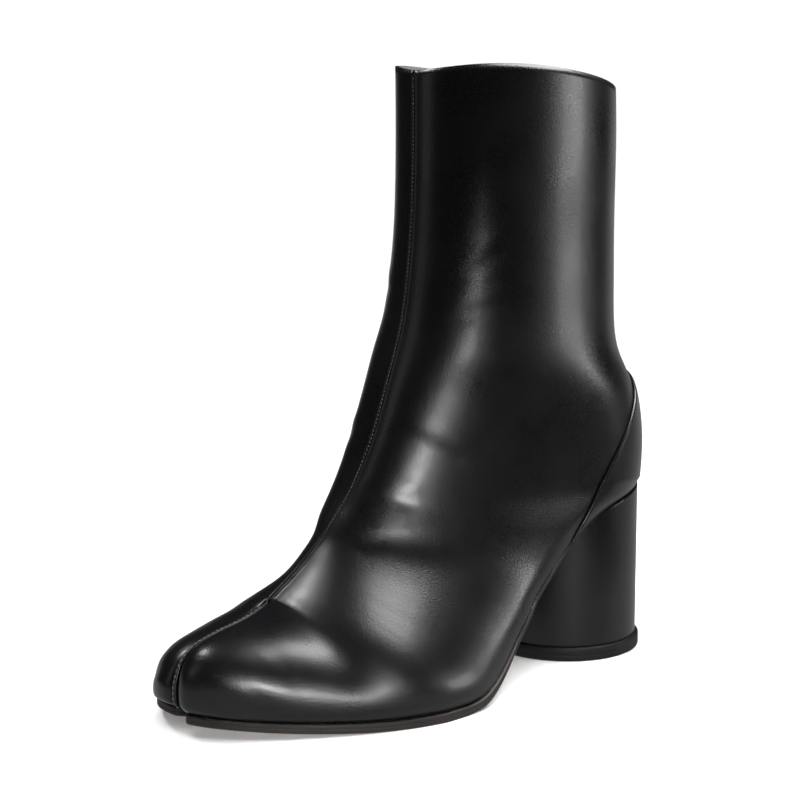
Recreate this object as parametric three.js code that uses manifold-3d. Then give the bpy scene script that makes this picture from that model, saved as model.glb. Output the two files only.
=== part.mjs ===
import * as THREE from 'three';
import { mergeVertices } from 'three/addons/utils/BufferGeometryUtils.js';
import manifoldModule from 'manifold-3d';

const manifold = await manifoldModule();
manifold.setup();
const { Manifold, Mesh } = manifold;

// A left split-toe ankle boot on a round block heel. Millimetres, +Z up, the toe
// towards -Y and the outer side of the foot towards +X. While the pieces are made,
// s runs forward from the back of the heel and z up from the floor.

// Overall sizes
const bootLength = 222.5;
const ballWidth = 90;
const seatWidth = 57;
const heelHeight = 70;
const toeSpring = 5;

// Shaft, from the heel seat to the collar, whose rim arches up on either side
const shaftRise = 153;
const shaftDepth = 98;
const shaftWidth = 66;
const collarArch = { lat: 7, med: 3.5 };

// Foot
const instepDepth = 104;
const toeHeight = 35;
const swell = 2;

// Walls and clearances
const upperWall = 1.8;
const counterWall = 1.2;
const clearance = 0.3;
const counterGap = 0.55;
const insoleThickness = 2;
const insoleGap = 0.6;

// Sole
const soleThickness = 3.6;
const waistThickness = 2;
const seatThickness = 1;
const soleLedge = 1.4;
const seatInset = 1;
const edgeDraft = 0.5;
const springStart = 0.72 * bootLength;

// Heel block and its rubber top lift, on one upright axis
const heelRadius = 29.6;
const liftRadius = 31;
const liftHeight = 5.6;
const liftBevel = 0.6;
const heelCentre = liftRadius;

// Split toe: a lip is the rounded edge of a lobe beside the cleft
const cleftX = -12;
const cleftGap = 5;
const lipWidth = { lat: 4.5, med: 4 };
const lipDrop = { lat: 3.2, med: 2.8 };
const noseRound = 7;
const medialSetback = 3.5;
const webThickness = 1.5;
const webSink = 1.2;

// Seam that stands up along the front
const seamHeight = 0.9;
const seamWidth = 1.8;

// Counter: its top above the heel seat and its reach forward from the heel point
const counterTop = 47;
const counterReach = 54;

// The upper's heel point lies this far forward of the heel's back
const heelSet = 4;

// Row numbers, in the tables below, of the heel point, the start of the cleft and its crotch
const heelRow = 10;
const kinkRow = 20;
const crotchRow = 23;

// Exponents and shares that shape the curves between the rows
const springPower = 1.5;
const heelFull = 2.15;
const leanPower = 1.5;
const middlePower = 1.5;
const archRows = 3;
const archPower = 1.4;
const swellBelly = 0.15;
const belowWidest = { share: 0.45, gain: 2.2, power: 0.6, ratio: 0.9995 };
const counterPower = { run: 1.35, height: 0.9 };
const seatLedge = 0.3;
const webStart = 1.7;
const webEnd = 0.5;

// Steps of the grids. A half row of the upper runs over its face, up the ridge of the front
// seam, round the lip of the cleft and down the cleft's wall.
const faceSteps = 14;
const ridgeSteps = 2;
const lipSteps = 3;
const wallSteps = 1;
const counterSteps = 20;
const planColumns = 2;
const roundSides = 40;
const heelRowSteps = [0, 0.05, 0.15, 0.35, 0.65];
const backSteps = [0, 0.4, 1.6, 3.6];
const noseShares = [0.3, 0.6, 0.84, 0.96, 1];
const stationGap = 1;
const cutMargin = 16;

// A table is a line of column names and rows of numbers.
function table(names, rows) {
  const keys = names.split(' ');
  return rows.map((row) => Object.fromEntries(row.map((value, k) => [keys[k], value])));
}

// Sections of the shaft, from the collar down to the heel point. rise is a share of
// shaftRise, back and depth are shares of shaftDepth. The half widths add lat and med, shares
// of shaftWidth, to latSeat and medSeat, shares of seatWidth. belly is where along its depth
// the section is widest, latFull and medFull are the exponents of its curves and seam is the
// front seam's x as a share of cleftX.
const shaftRows = table('rise back tilt depth lat med latSeat medSeat belly latFull medFull seam', [
  [1, 0.13, 8, 0.998, 0.485, 0.515, 0, 0, 0.5, 2.1, 2.1, 0.21],
  [0.89, 0.12, 6, 1.003, 0.48, 0.512, 0, 0, 0.5, 2.1, 2.1, 0.21],
  [0.76, 0.12, 4.6, 1.004, 0.476, 0.51, 0, 0, 0.5, 2.1, 2.1, 0.21],
  [0.64, 0.12, 3.8, 1.013, 0.474, 0.51, 0, 0, 0.5, 2.1, 2.1, 0.22],
  [0.53, 0.12, 3.4, 1.031, 0.48, 0.515, 0, 0, 0.49, 2.1, 2.15, 0.235],
  [0.43, 0.12, 3.6, 1.055, 0.49, 0.52, 0, 0, 0.48, 2.1, 2.25, 0.26],
  [0.345, 0.098, 3.7, 1.112, 0.34, 0.354, 0.191, 0.198, 0.45, 2.1, 2.5, 0.295],
  [0.265, 0.035, 3.3, 1.216, 0.172, 0.175, 0.397, 0.405, 0.38, 2.1, 2.7, 0.335],
  [0.18, 0, 3.4, 1.292, 0, 0, 0.593, 0.596, 0.33, 2.15, 2.9, 0.385],
  [0.09, -0.01, 4.6, 1.347, 0, 0, 0.585, 0.579, 0.29, 2.15, 3, 0.44],
  [0, 0, 6.3, 1.388, 0, 0, 0.577, 0.565, 0.27, 2.15, 3, 0.5],
]);

// Sections over the heel seat. station is a share of bootLength along the bottom, depth a
// share of instepDepth, lat and med shares of seatWidth.
const seatRows = table('station tilt depth lat med belly latFull medFull seam', [
  [0.063, 4.3, 1.246, 0.57, 0.555, 0.24, 2.1, 2.9, 0.55],
  [0.135, 3.6, 1.13, 0.566, 0.54, 0.19, 2.05, 2.75, 0.6],
  [0.216, 5.4, 0.997, 0.56, 0.52, 0.15, 2, 2.5, 0.655],
]);

// Sections from the waist to the crotch of the cleft. depth is a share of instepDepth,
// second the inner lobe's depth as a share of it, bulge a share of swell beyond the edge of
// the sole, cleft the share of the section's depth that the cleft has been cut down.
const footRows = table('station tilt depth second bulge belly latFull medFull seam cleft', [
  [0.3, 11.7, 0.866, 1, 1, 0.15, 1.97, 2.25, 0.72, 0],
  [0.38, 21, 0.771, 1, 1.1, 0.16, 2, 2.05, 0.78, 0],
  [0.455, 31.8, 0.706, 1, 1.1, 0.18, 2.05, 1.85, 0.835, 0],
  [0.53, 42, 0.642, 1, 1, 0.18, 2.02, 1.72, 0.89, 0],
  [0.605, 50.1, 0.546, 1, 1, 0.175, 1.96, 1.68, 0.935, 0],
  [0.68, 60.8, 0.453, 1, 1, 0.165, 1.9, 1.68, 0.975, 0],
  [0.745, 73, 0.389, 1, 1, 0.15, 1.85, 1.72, 1, 0],
  [0.782, 76.9, 0.361, 0.965, 1, 0.14, 1.83, 1.74, 1, 0.3],
  [0.815, 77.5, 0.341, 0.93, 1, 0.13, 1.82, 1.75, 1, 0.66],
  [0.845, 75.8, 0.325, 0.905, 1, 0.12, 1.8, 1.75, 1, 1],
]);

// Sections over the two toe lobes, which lean forward until the last lies along the edge
// of the sole round each nose. depth is a share of toeHeight, drop the lip's fall as a share
// of lipDrop.
const toeRows = table('station tilt depth second bulge belly latFull medFull drop', [
  [0.868, 71.5, 0.937, 0.895, 1, 0.115, 1.8, 1.75, 1],
  [0.886, 64.2, 0.914, 0.885, 0.9, 0.1, 1.8, 1.74, 1.05],
  [0.9, 57.6, 0.88, 0.875, 0.7, 0.07, 1.8, 1.72, 1.1],
  [0.911, 50, 0.814, 0.88, 0.4, 0.03, 1.82, 1.7, 1.2],
  [0.92, 40.8, 0.714, 0.9, 0, -0.15, 1.8, 1.7, 1.3],
  [0.928, 28.9, 0.591, 0.95, 0, -0.8, 1.75, 1.85, 1.45],
  [0.935, 15.4, 0.474, 0.95, 0, -2.4, 1.55, 2.05, 1.6],
  [0.942, 6, 0.328, 0.72, 0, -6, 1.4, 2.2, 1.75],
]);

// Underside of the sole: height as a share of heelHeight, thickness as shares of the
// three named thicknesses.
const soleRows = table('station height seat waist fore', [
  [0.0, 1.0, 1, 0, 0],
  [0.067, 0.963, 1, 0, 0],
  [0.135, 0.918, 1, 0, 0],
  [0.19, 0.853, 0.8, 0.2, 0],
  [0.247, 0.738, 0.3, 0.7, 0],
  [0.306, 0.588, 0, 1, 0],
  [0.36, 0.442, 0, 1, 0],
  [0.413, 0.292, 0, 0.9, 0.1],
  [0.463, 0.156, 0, 0.6, 0.4],
  [0.508, 0.06, 0, 0.3, 0.7],
  [0.548, 0.014, 0, 0.1, 0.9],
  [0.585, 0, 0, 0, 1],
  [0.72, 0, 0, 0, 1],
  [1.0, 0, 0, 0, 0.92],
]);

// Outline of the bottom of the upper: half widths as shares of seatWidth and ballWidth.
const outlineRows = table('station latSeat latBall medSeat medBall ledge', [
  [0.15, 0.5, 0, 0.495, 0, 0],
  [0.21, 0.505, 0, 0.485, 0, 0],
  [0.26, 0.4, 0.072, 0.38, 0.054, 0.15],
  [0.315, 0.2, 0.21, 0.2, 0.15, 0.3],
  [0.37, 0, 0.362, 0, 0.284, 0.45],
  [0.427, 0, 0.403, 0, 0.317, 0.6],
  [0.485, 0, 0.451, 0, 0.367, 0.8],
  [0.548, 0, 0.488, 0, 0.422, 1],
  [0.63, 0, 0.498, 0, 0.478, 1],
  [0.72, 0, 0.498, 0, 0.5, 1],
  [0.84, 0, 0.498, 0, 0.502, 1],
]);
const foreStart = { lat: 0.63, med: 0.84 };
const foreFull = { lat: 1.4, med: 2.2 };

// Smooth curve through the rows of a table, read at a station or at a row number.
function hermite(y0, y1, m0, m1, h, t) {
  const u = 1 - t;
  return y0 * u * u * (1 + 2 * t) + y1 * t * t * (3 - 2 * t) + h * t * u * (m0 * u - m1 * t);
}

function smoothRead(xs, ys, x) {
  const last = xs.length - 1;
  if (x <= xs[0]) return ys[0];
  if (x >= xs[last]) return ys[last];
  let i = 0;
  while (x > xs[i + 1]) i += 1;
  const secant = (k) => (ys[k + 1] - ys[k]) / (xs[k + 1] - xs[k]);
  const slope = (k) => {
    if (k === 0) return secant(0);
    if (k === last) return secant(last - 1);
    const a = secant(k - 1);
    const b = secant(k);
    if (a * b <= 0) return 0;
    return 2 * a * b / (a + b);
  };
  const h = xs[i + 1] - xs[i];
  return hermite(ys[i], ys[i + 1], slope(i), slope(i + 1), h, (x - xs[i]) / h);
}

function column(rows, key) {
  return rows.map((row) => row[key]);
}

const soleStations = column(soleRows, 'station').map((share) => share * bootLength);

function undersideZ(s) {
  const run = Math.max(0, s - springStart) / (bootLength - springStart);
  const share = smoothRead(soleStations, column(soleRows, 'height'), s);
  return heelHeight * share + toeSpring * run ** springPower;
}

function soleThick(s) {
  const share = (key) => smoothRead(soleStations, column(soleRows, key), s);
  return seatThickness * share('seat') + waistThickness * share('waist') + soleThickness * share('fore');
}

function featherZ(s) {
  return undersideZ(s) + soleThick(s) + clearance;
}

const outlineStations = column(outlineRows, 'station').map((share) => share * bootLength);
const upperTip = { lat: bootLength - soleLedge, med: bootLength - soleLedge - medialSetback };
const sign = { lat: 1, med: -1 };

function noseX(side) {
  return cleftX + sign[side] * (cleftGap / 2 + lipWidth[side]);
}

function superQuarter(t, n) {
  return (1 - Math.min(1, Math.max(0, t)) ** n) ** (1 / n);
}

// Half width of the upper's bottom edge at s, grown outwards by grow.
function edgeHalf(side, s, grow = 0) {
  const ball = side + 'Ball';
  const seat = side + 'Seat';
  const read = (key, at) => smoothRead(outlineStations, column(outlineRows, key), at);
  const half = (at) => read(seat, at) * seatWidth + read(ball, at) * ballWidth + grow;
  const seatEnd = outlineStations[0];
  const start = foreStart[side] * bootLength;
  if (s < seatEnd) {
    const reach = seatEnd - heelSet + grow;
    return half(seatEnd) * superQuarter((seatEnd - s) / reach, heelFull);
  }
  if (s > start) {
    const inner = sign[side] * noseX(side);
    const reach = upperTip[side] + grow - start;
    return inner + (half(start) - inner) * superQuarter((s - start) / reach, foreFull[side]);
  }
  return half(s);
}

// Every section in millimetres: b is its back or bottom point, depth its length to the
// front line and tilt its rise to the front.
const degree = Math.PI / 180;
const seatZ = featherZ(heelSet);

function shaped(row, rest) {
  const { tilt, belly, latFull, medFull } = row;
  const whole = { seam: cleftX, cleft: 0, drop: 1, second: 1 };
  return { ...whole, tilt, belly, latFull, medFull, ...rest };
}

function shaftSection(row) {
  return shaped(row, {
    s: heelSet + row.back * shaftDepth,
    z: seatZ + row.rise * shaftRise,
    depth: row.depth * shaftDepth,
    lat: row.lat * shaftWidth + row.latSeat * seatWidth,
    med: row.med * shaftWidth + row.medSeat * seatWidth,
    seam: row.seam * cleftX,
  });
}

function seatSection(row) {
  const s = row.station * bootLength;
  return shaped(row, {
    s,
    z: featherZ(s),
    depth: row.depth * instepDepth,
    lat: row.lat * seatWidth,
    med: row.med * seatWidth,
    seam: row.seam * cleftX,
  });
}

function bottomWidths(row) {
  const s = row.station * bootLength;
  const out = row.bulge * swell;
  return { s, z: featherZ(s), lat: edgeHalf('lat', s) + out, med: edgeHalf('med', s) + out };
}

function footSection(row) {
  const cleft = { seam: row.seam * cleftX, cleft: row.cleft, second: row.second };
  return shaped(row, { ...bottomWidths(row), ...cleft, depth: row.depth * instepDepth });
}

function toeSection(row) {
  const rest = { depth: row.depth * toeHeight, cleft: 1, drop: row.drop, second: row.second };
  return shaped(row, { ...bottomWidths(row), ...rest });
}

const sections = [
  ...shaftRows.map(shaftSection), ...seatRows.map(seatSection),
  ...footRows.map(footSection), ...toeRows.map(toeSection),
];
const rowNumbers = sections.map((row, i) => i);
const lastRow = sections.length - 1;

function limited(value, low, high) {
  return Math.min(high, Math.max(low, value));
}

const sectionKeys = Object.keys(sections[0]);

// grown is how far the lips of the cleft have opened, apart how far the two lobes have.
function sectionAt(v) {
  const read = (key) => [key, smoothRead(rowNumbers, column(sections, key), v)];
  const row = Object.fromEntries(sectionKeys.map(read));
  row.tilt *= degree;
  row.onBottom = v > heelRow;
  if (row.onBottom) row.z = featherZ(row.s);
  row.grown = Math.sqrt(limited((v - kinkRow) / (crotchRow - kinkRow), 0, 1));
  row.apart = limited((v - kinkRow) / (crotchRow + 1 - kinkRow), 0, 1);
  return row;
}

function depthOf(row, side) {
  return row.depth * (side === 'med' ? row.second : 1);
}

// Share of a half section that lies below its widest place.
function shareBelow(belly) {
  const { share, gain, power } = belowWidest;
  return share * limited(gain * belly, 0, 1) ** power;
}

// One half of a section. share runs from the back seam or the bottom edge (0) to the front
// line (1): a superellipse that is widest at the belly, cut short where the sole closes it.
// Its centre line leans from the sole's middle to the seam, or stands under a lobe's crest.
function outerPoint(row, side, share) {
  const depth = depthOf(row, side);
  const out = sign[side];
  const crest = row.seam + out * row.grown * (cleftGap / 2 + lipWidth[side]);
  const power = 2 / row[side + 'Full'];
  const edge = row.onBottom ? edgeHalf(side, row.s) : 0;
  const widest = row.belly * depth;
  const lean = (q) => row.apart + (1 - row.apart) * Math.max(0, q / depth) ** leanPower;
  const edgeSpan = row.onBottom ? edge - out * crest * row.apart : 0;
  if (row.belly <= 0) {
    const start = Math.asin((-widest / (depth - widest)) ** (1 / power));
    const angle = start + (Math.PI / 2 - start) * share;
    const wide = edgeSpan * (Math.max(0, Math.cos(angle)) / Math.cos(start)) ** power;
    return [crest + out * wide, widest + (depth - widest) * Math.sin(angle) ** power];
  }
  const swollen = (row[side] - edge) * limited(row.belly / swellBelly, 0, 1);
  const half = edge + swollen - out * crest * lean(widest);
  const start = -Math.acos(Math.min(belowWidest.ratio, edgeSpan / half) ** (1 / power));
  const split = shareBelow(row.belly);
  const below = start * (1 - share / split);
  const above = Math.PI / 2 * (share - split) / (1 - split);
  const angle = share < split ? below : above;
  const rise = Math.sin(angle);
  const lower = widest / Math.abs(Math.sin(start)) ** power;
  const q = rise >= 0 ? widest + (depth - widest) * rise ** power : widest - lower * (-rise) ** power;
  return [crest * lean(q) + out * half * Math.max(0, Math.cos(angle)) ** power, q];
}

// The rim of the collar arches up between the front and the back seam.
function archAt(v, side, share) {
  return collarArch[side] * Math.max(0, 1 - v / archRows) * Math.sin(Math.PI * share) ** archPower;
}

function toWorld(row, x, q, lift = 0) {
  const along = q + lift;
  return [x, -(row.s + along * Math.cos(row.tilt)), row.z + along * Math.sin(row.tilt)];
}

function facePoint(v, side, share) {
  const row = sectionAt(v);
  const [x, q] = outerPoint(row, side, share);
  const point = toWorld(row, x, q);
  point[2] += archAt(v, side, share);
  return point;
}

// The share at which the face comes within distance of the crest.
function shareNear(row, side, distance) {
  const crest = outerPoint(row, side, 1)[0];
  let low = 0.5;
  let high = 1;
  for (let i = 0; i < 30; i += 1) {
    const middle = (low + high) / 2;
    if (Math.abs(outerPoint(row, side, middle)[0] - crest) > distance) low = middle;
    else high = middle;
  }
  return high;
}

// Column numbers of a half row's ends: at the front seam, in the cleft and on its floor.
const seamColumn = faceSteps + ridgeSteps;
const wallColumn = seamColumn + lipSteps + wallSteps;
const floorColumn = wallColumn + 1;

function halfRow(v, side) {
  const row = sectionAt(v);
  const out = sign[side];
  const depth = depthOf(row, side);
  const foot = shareNear(row, side, seamWidth / 2);
  const ridge = v > kinkRow ? 0 : seamHeight;
  const plain = [];
  const raised = [];
  const push = (x, q, lift, share) => {
    const arch = archAt(v, side, share);
    const flat = toWorld(row, x, q);
    const high = toWorld(row, x, q, lift);
    flat[2] += arch;
    high[2] += arch;
    plain.push(flat);
    raised.push(high);
  };
  for (let j = 0; j <= faceSteps; j += 1) {
    const [x, q] = outerPoint(row, side, foot * j / faceSteps);
    push(x, q, 0, foot * j / faceSteps);
  }
  for (let j = 1; j <= ridgeSteps; j += 1) {
    const [x, q] = outerPoint(row, side, foot + (1 - foot) * j / ridgeSteps);
    push(x, q, ridge, 1);
  }
  const wallX = row.seam + out * row.grown * cleftGap / 2;
  const lip = row.grown * lipWidth[side];
  const floor = row.depth * (1 - row.cleft);
  const drop = Math.min(lipDrop[side] * row.drop, depth - floor);
  for (let j = 1; j <= lipSteps; j += 1) {
    const angle = Math.PI / 2 * j / lipSteps;
    push(wallX + out * lip * (1 - Math.sin(angle)), depth - drop * (1 - Math.cos(angle)), 0, 1);
  }
  for (let j = 1; j <= wallSteps; j += 1) {
    push(wallX, (depth - drop) + (floor - depth + drop) * j / wallSteps, 0, 1);
  }
  push(row.seam, floor, 0, 1);
  return { plain, raised };
}

function endColumn(v) {
  if (v <= kinkRow) return seamColumn;
  if (v <= crotchRow) return floorColumn;
  return wallColumn;
}

// Vertex numbering for the two halves. They share the back seam as far as the heel point,
// the front seam as far as the cleft, and the cleft's floor as far as its crotch.
function numbering(rows) {
  const numbers = new Map();
  const order = [];
  return {
    order,
    at(side, i, j) {
      const v = rows[i];
      const lastColumn = endColumn(v);
      const place = Math.min(j, lastColumn);
      const backSeam = v <= heelRow && place === 0;
      const middleLine = v <= crotchRow && place === lastColumn;
      const key = (backSeam || middleLine ? 'both' : side) + ',' + i + ',' + place;
      if (!numbers.has(key)) {
        numbers.set(key, order.length);
        order.push([side, i, place]);
      }
      return numbers.get(key);
    },
  };
}

// Two triangles for each cell of a grid of vertex numbers, without the flat ones.
function gridTriangles(rowCount, columnCount, at, flip) {
  const triangles = [];
  const add = (a, b, c) => {
    if (a === b || b === c || a === c) return;
    triangles.push(flip ? [a, c, b] : [a, b, c]);
  };
  for (let i = 0; i + 1 < rowCount; i += 1) {
    for (let j = 0; j + 1 < columnCount; j += 1) {
      add(at(i, j), at(i + 1, j), at(i + 1, j + 1));
      add(at(i, j), at(i + 1, j + 1), at(i, j + 1));
    }
  }
  return triangles;
}

function sheetNormals(triangles, points) {
  const normals = points.map(() => new THREE.Vector3());
  const corner = (k) => new THREE.Vector3(...points[k]);
  for (const [a, b, c] of triangles) {
    const edge = corner(b).sub(corner(a));
    const face = edge.cross(corner(c).sub(corner(a)));
    for (const k of [a, b, c]) normals[k].add(face);
  }
  return normals.map((normal) => normal.normalize());
}

// Edges that belong to one triangle only, each in that triangle's direction.
function rimEdges(triangles) {
  const edges = new Map();
  for (const [a, b, c] of triangles) {
    for (const [p, q] of [[a, b], [b, c], [c, a]]) {
      if (edges.has(q + ',' + p)) edges.delete(q + ',' + p);
      else edges.set(p + ',' + q, [p, q]);
    }
  }
  return [...edges.values()];
}

// A closed solid between two positions of the same sheet.
function solidBetween(triangles, front, back) {
  const count = front.length;
  const faces = [];
  for (const [a, b, c] of triangles) {
    faces.push([a, b, c], [a + count, c + count, b + count]);
  }
  for (const [p, q] of rimEdges(triangles)) {
    faces.push([q, p, p + count], [q, p + count, q + count]);
  }
  const points = [...front, ...back];
  const corner = (k) => new THREE.Vector3(...points[k]);
  let volume = 0;
  for (const [a, b, c] of faces) volume += corner(a).dot(corner(b).cross(corner(c)));
  const ordered = volume > 0 ? faces : faces.map(([a, b, c]) => [a, c, b]);
  const geometry = new THREE.BufferGeometry();
  geometry.setAttribute('position', new THREE.Float32BufferAttribute(points.flat(), 3));
  geometry.setIndex(ordered.flat());
  return geometry;
}

function moved(point, direction, distance) {
  return point.map((value, k) => value + direction.getComponent(k) * distance);
}

// Row numbers at which the sheet is made, close together where the bottom opens.
const sheetRows = [];
for (let v = 0; v < heelRow; v += 1) sheetRows.push(v);
for (const step of heelRowSteps) sheetRows.push(heelRow + step);
for (let v = heelRow + 1; v <= lastRow; v += 0.5) sheetRows.push(v);

// Stations of the sheet's rows along the bottom, behind and in front of the crotch.
const planBack = sheetRows.filter((v) => v > heelRow && v <= crotchRow).map((v) => sectionAt(v).s);
const planFront = sheetRows.filter((v) => v > crotchRow).map((v) => sectionAt(v).s);

// 1 where the sheet's triangles face away from its middle, -1 where they face it.
function outwardSign(triangles, points) {
  const corner = (k) => new THREE.Vector3(...points[k]);
  const middle = new THREE.Vector3();
  for (let k = 0; k < points.length; k += 1) middle.add(corner(k));
  middle.divideScalar(points.length);
  let total = 0;
  for (const [a, b, c] of triangles) {
    const normal = corner(b).sub(corner(a)).cross(corner(c).sub(corner(a)));
    total += normal.dot(corner(a).sub(middle));
  }
  return Math.sign(total);
}

// The outer face of the upper: its triangles, its points without and with the raised seam,
// and outward normals, which lie level along every rim.
function upperSheet() {
  const rows = sheetRows;
  const halves = { lat: rows.map((v) => halfRow(v, 'lat')), med: rows.map((v) => halfRow(v, 'med')) };
  const index = numbering(rows);
  const triangles = ['lat', 'med'].flatMap((side) => gridTriangles(
    rows.length, floorColumn + 1, (i, j) => index.at(side, i, j), side === 'med',
  ));
  const plain = index.order.map(([side, i, j]) => halves[side][i].plain[j]);
  const raised = index.order.map(([side, i, j]) => halves[side][i].raised[j]);
  const outward = outwardSign(triangles, plain);
  const normals = sheetNormals(triangles, plain).map((normal) => normal.multiplyScalar(outward));
  for (const k of new Set(rimEdges(triangles).flat())) normals[k].setZ(0).normalize();
  return { triangles, plain, raised, normals };
}

const sheet = upperSheet();

function offsetSheet(distance) {
  return sheet.plain.map((point, k) => moved(point, sheet.normals[k], distance));
}

// Upper: one wall of even thickness, open at the collar and along the sole.
function upperGeometry() {
  return solidBetween(sheet.triangles, sheet.raised, offsetSheet(-upperWall));
}

// Counter: the overlay below a line that falls from the back seam to the waist.
const counterEnd = heelSet + counterReach;

function counterEdgeZ(s) {
  const run = limited((s - heelSet) / counterReach, 0, 1);
  const foot = featherZ(counterEnd);
  return foot + (seatZ + counterTop - foot) * (1 - run ** counterPower.run) ** counterPower.height;
}

// The station where the counter's edge comes down to the sole.
function counterTip() {
  let low = heelSet;
  let high = counterEnd;
  for (let i = 0; i < 40; i += 1) {
    const middle = (low + high) / 2;
    if (counterEdgeZ(middle) > featherZ(middle) + clearance) low = middle;
    else high = middle;
  }
  return low;
}

function extrudedAcross(outline, width, centreX) {
  const shape = new THREE.Shape(outline.map(([s, z]) => new THREE.Vector2(s, z)));
  const geometry = new THREE.ExtrudeGeometry(shape, { depth: width, bevelEnabled: false });
  const across = new THREE.Matrix4().makeBasis(
    new THREE.Vector3(0, -1, 0), new THREE.Vector3(0, 0, 1), new THREE.Vector3(-1, 0, 0),
  );
  geometry.applyMatrix4(across);
  geometry.translate(centreX + width / 2, 0, 0);
  return geometry;
}

function toManifold(geometry) {
  geometry.deleteAttribute('normal');
  geometry.deleteAttribute('uv');
  const merged = mergeVertices(geometry, 1e-4);
  return new Manifold(new Mesh({
    numProp: 3,
    vertProperties: new Float32Array(merged.attributes.position.array),
    triVerts: new Uint32Array(merged.index.array),
  }));
}

function fromManifold(solid) {
  const mesh = solid.getMesh();
  const geometry = new THREE.BufferGeometry();
  geometry.setAttribute('position', new THREE.Float32BufferAttribute(mesh.vertProperties, 3));
  geometry.setIndex([...mesh.triVerts]);
  return geometry;
}

function counterGeometry() {
  const near = ([x, y, z]) => -y < counterEnd + cutMargin && z < counterEdgeZ(-y) + cutMargin;
  const touched = sheet.triangles.filter((corners) => corners.some((k) => near(sheet.plain[k])));
  const band = solidBetween(touched, offsetSheet(counterGap + counterWall), offsetSheet(counterGap));
  const tip = counterTip();
  const outline = [];
  for (let i = 0; i < counterSteps; i += 1) {
    const s = heelSet + (tip - heelSet) * Math.sin(Math.PI / 2 * i / counterSteps);
    outline.push([s, counterEdgeZ(s)]);
  }
  const back = heelSet - cutMargin;
  const stations = [back, ...planBack.filter((s) => s < tip - stationGap), tip];
  const foot = stations.map((s) => [s, featherZ(s) + clearance]);
  const cutter = [...foot, ...outline.reverse(), [back, seatZ + counterTop]];
  const prism = extrudedAcross(cutter, 2 * seatWidth, 0);
  return fromManifold(toManifold(band).intersect(toManifold(prism)));
}

// A plan of the sole in two halves that part at the crotch of the cleft. grow moves the
// outer edge outwards, notch moves the cleft's edges towards each other.
function planSheet(growAt, notch) {
  const crotch = sectionAt(crotchRow).s + 1.5 * notch;
  const back = heelSet - growAt(heelSet);
  const stations = {};
  const rounded = backSteps.map((step) => back + step);
  const straight = planBack.filter((s) => s > rounded.at(-1) + stationGap && s < crotch - stationGap);
  const front = planFront.filter((s) => s > crotch + stationGap);
  for (const side of ['lat', 'med']) {
    const last = planFront.at(-1);
    const tip = upperTip[side] + growAt(upperTip[side]);
    const nose = noseShares.map((share) => last + (tip - last) * share);
    stations[side] = [...rounded, ...straight, crotch, crotch + clearance, ...front, ...nose];
  }
  const backCount = rounded.length + straight.length + 1;
  const rows = stations.lat.length;
  const numbers = new Map();
  const points = [];
  const place = (side, i, j) => {
    const s = stations[side][i];
    const out = sign[side];
    const half = edgeHalf(side, s, growAt(s));
    if (i < backCount) {
      const middle = cleftX * (Math.max(0, s - back) / (crotch - back)) ** middlePower;
      return [middle + (out * half - middle) * j / planColumns, s];
    }
    const wall = cleftX + out * (cleftGap / 2 - notch);
    const bend = Math.max(0, (s - stations[side].at(-1) + noseRound) / noseRound);
    const inner = noseX(side) + (wall - noseX(side)) * Math.sqrt(Math.max(0, 1 - bend * bend));
    return [inner + (out * half - inner) * j / planColumns, s];
  };
  const at = (side, i, j) => {
    const along = i === 0 || i === rows - 1 ? 0 : j;
    const shared = i < backCount && along === 0;
    const key = (shared ? 'both' : side) + ',' + i + ',' + along;
    if (!numbers.has(key)) {
      numbers.set(key, points.length);
      points.push(place(side, i, along));
    }
    return numbers.get(key);
  };
  const triangles = ['lat', 'med'].flatMap((side) => gridTriangles(
    rows, planColumns + 1, (i, j) => at(side, i, j), side === 'med',
  ));
  return { triangles, points };
}

function raisePlan(plan, heightAt) {
  return plan.points.map(([x, s]) => [x, -s, heightAt(s)]);
}

function ledgeAt(s) {
  const share = smoothRead(outlineStations, column(outlineRows, 'ledge'), s);
  return soleLedge * share - seatInset * Math.max(0, 1 - share / seatLedge);
}

function outsoleGeometry() {
  const top = planSheet(ledgeAt, clearance);
  const bottom = planSheet((s) => ledgeAt(s) - edgeDraft, clearance - edgeDraft);
  const topZ = (s) => undersideZ(s) + soleThick(s);
  return solidBetween(top.triangles, raisePlan(top, topZ), raisePlan(bottom, undersideZ));
}

function insoleGeometry() {
  const inset = -(upperWall + insoleGap);
  const plan = planSheet(() => inset, inset);
  const topZ = (s) => featherZ(s) + insoleThickness;
  return solidBetween(plan.triangles, raisePlan(plan, topZ), raisePlan(plan, featherZ));
}

// Heel block: a round column under the seat, its top following the sole.
function heelGeometry() {
  const foot = liftHeight + clearance;
  const post = new THREE.CylinderGeometry(heelRadius, heelRadius, heelHeight - foot, roundSides);
  post.rotateX(Math.PI / 2);
  post.translate(0, -heelCentre, (heelHeight + foot) / 2);
  const [back, front] = [-heelCentre, 3 * heelCentre];
  const stations = [back, ...planBack.filter((s) => s < front), front];
  const line = stations.map((s) => [s, undersideZ(s) - clearance]);
  const prism = extrudedAcross([[back, 0], ...line, [front, 0]], 4 * heelRadius, 0);
  return fromManifold(toManifold(post).intersect(toManifold(prism)));
}

function liftGeometry() {
  const profile = [
    [0, 0], [liftRadius - liftBevel, 0], [liftRadius, liftBevel], [liftRadius, liftHeight], [0, liftHeight],
  ].map(([r, z]) => new THREE.Vector2(r, z));
  const geometry = new THREE.LatheGeometry(profile, roundSides);
  geometry.rotateX(Math.PI / 2);
  geometry.translate(0, -heelCentre, 0);
  return geometry;
}

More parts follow.
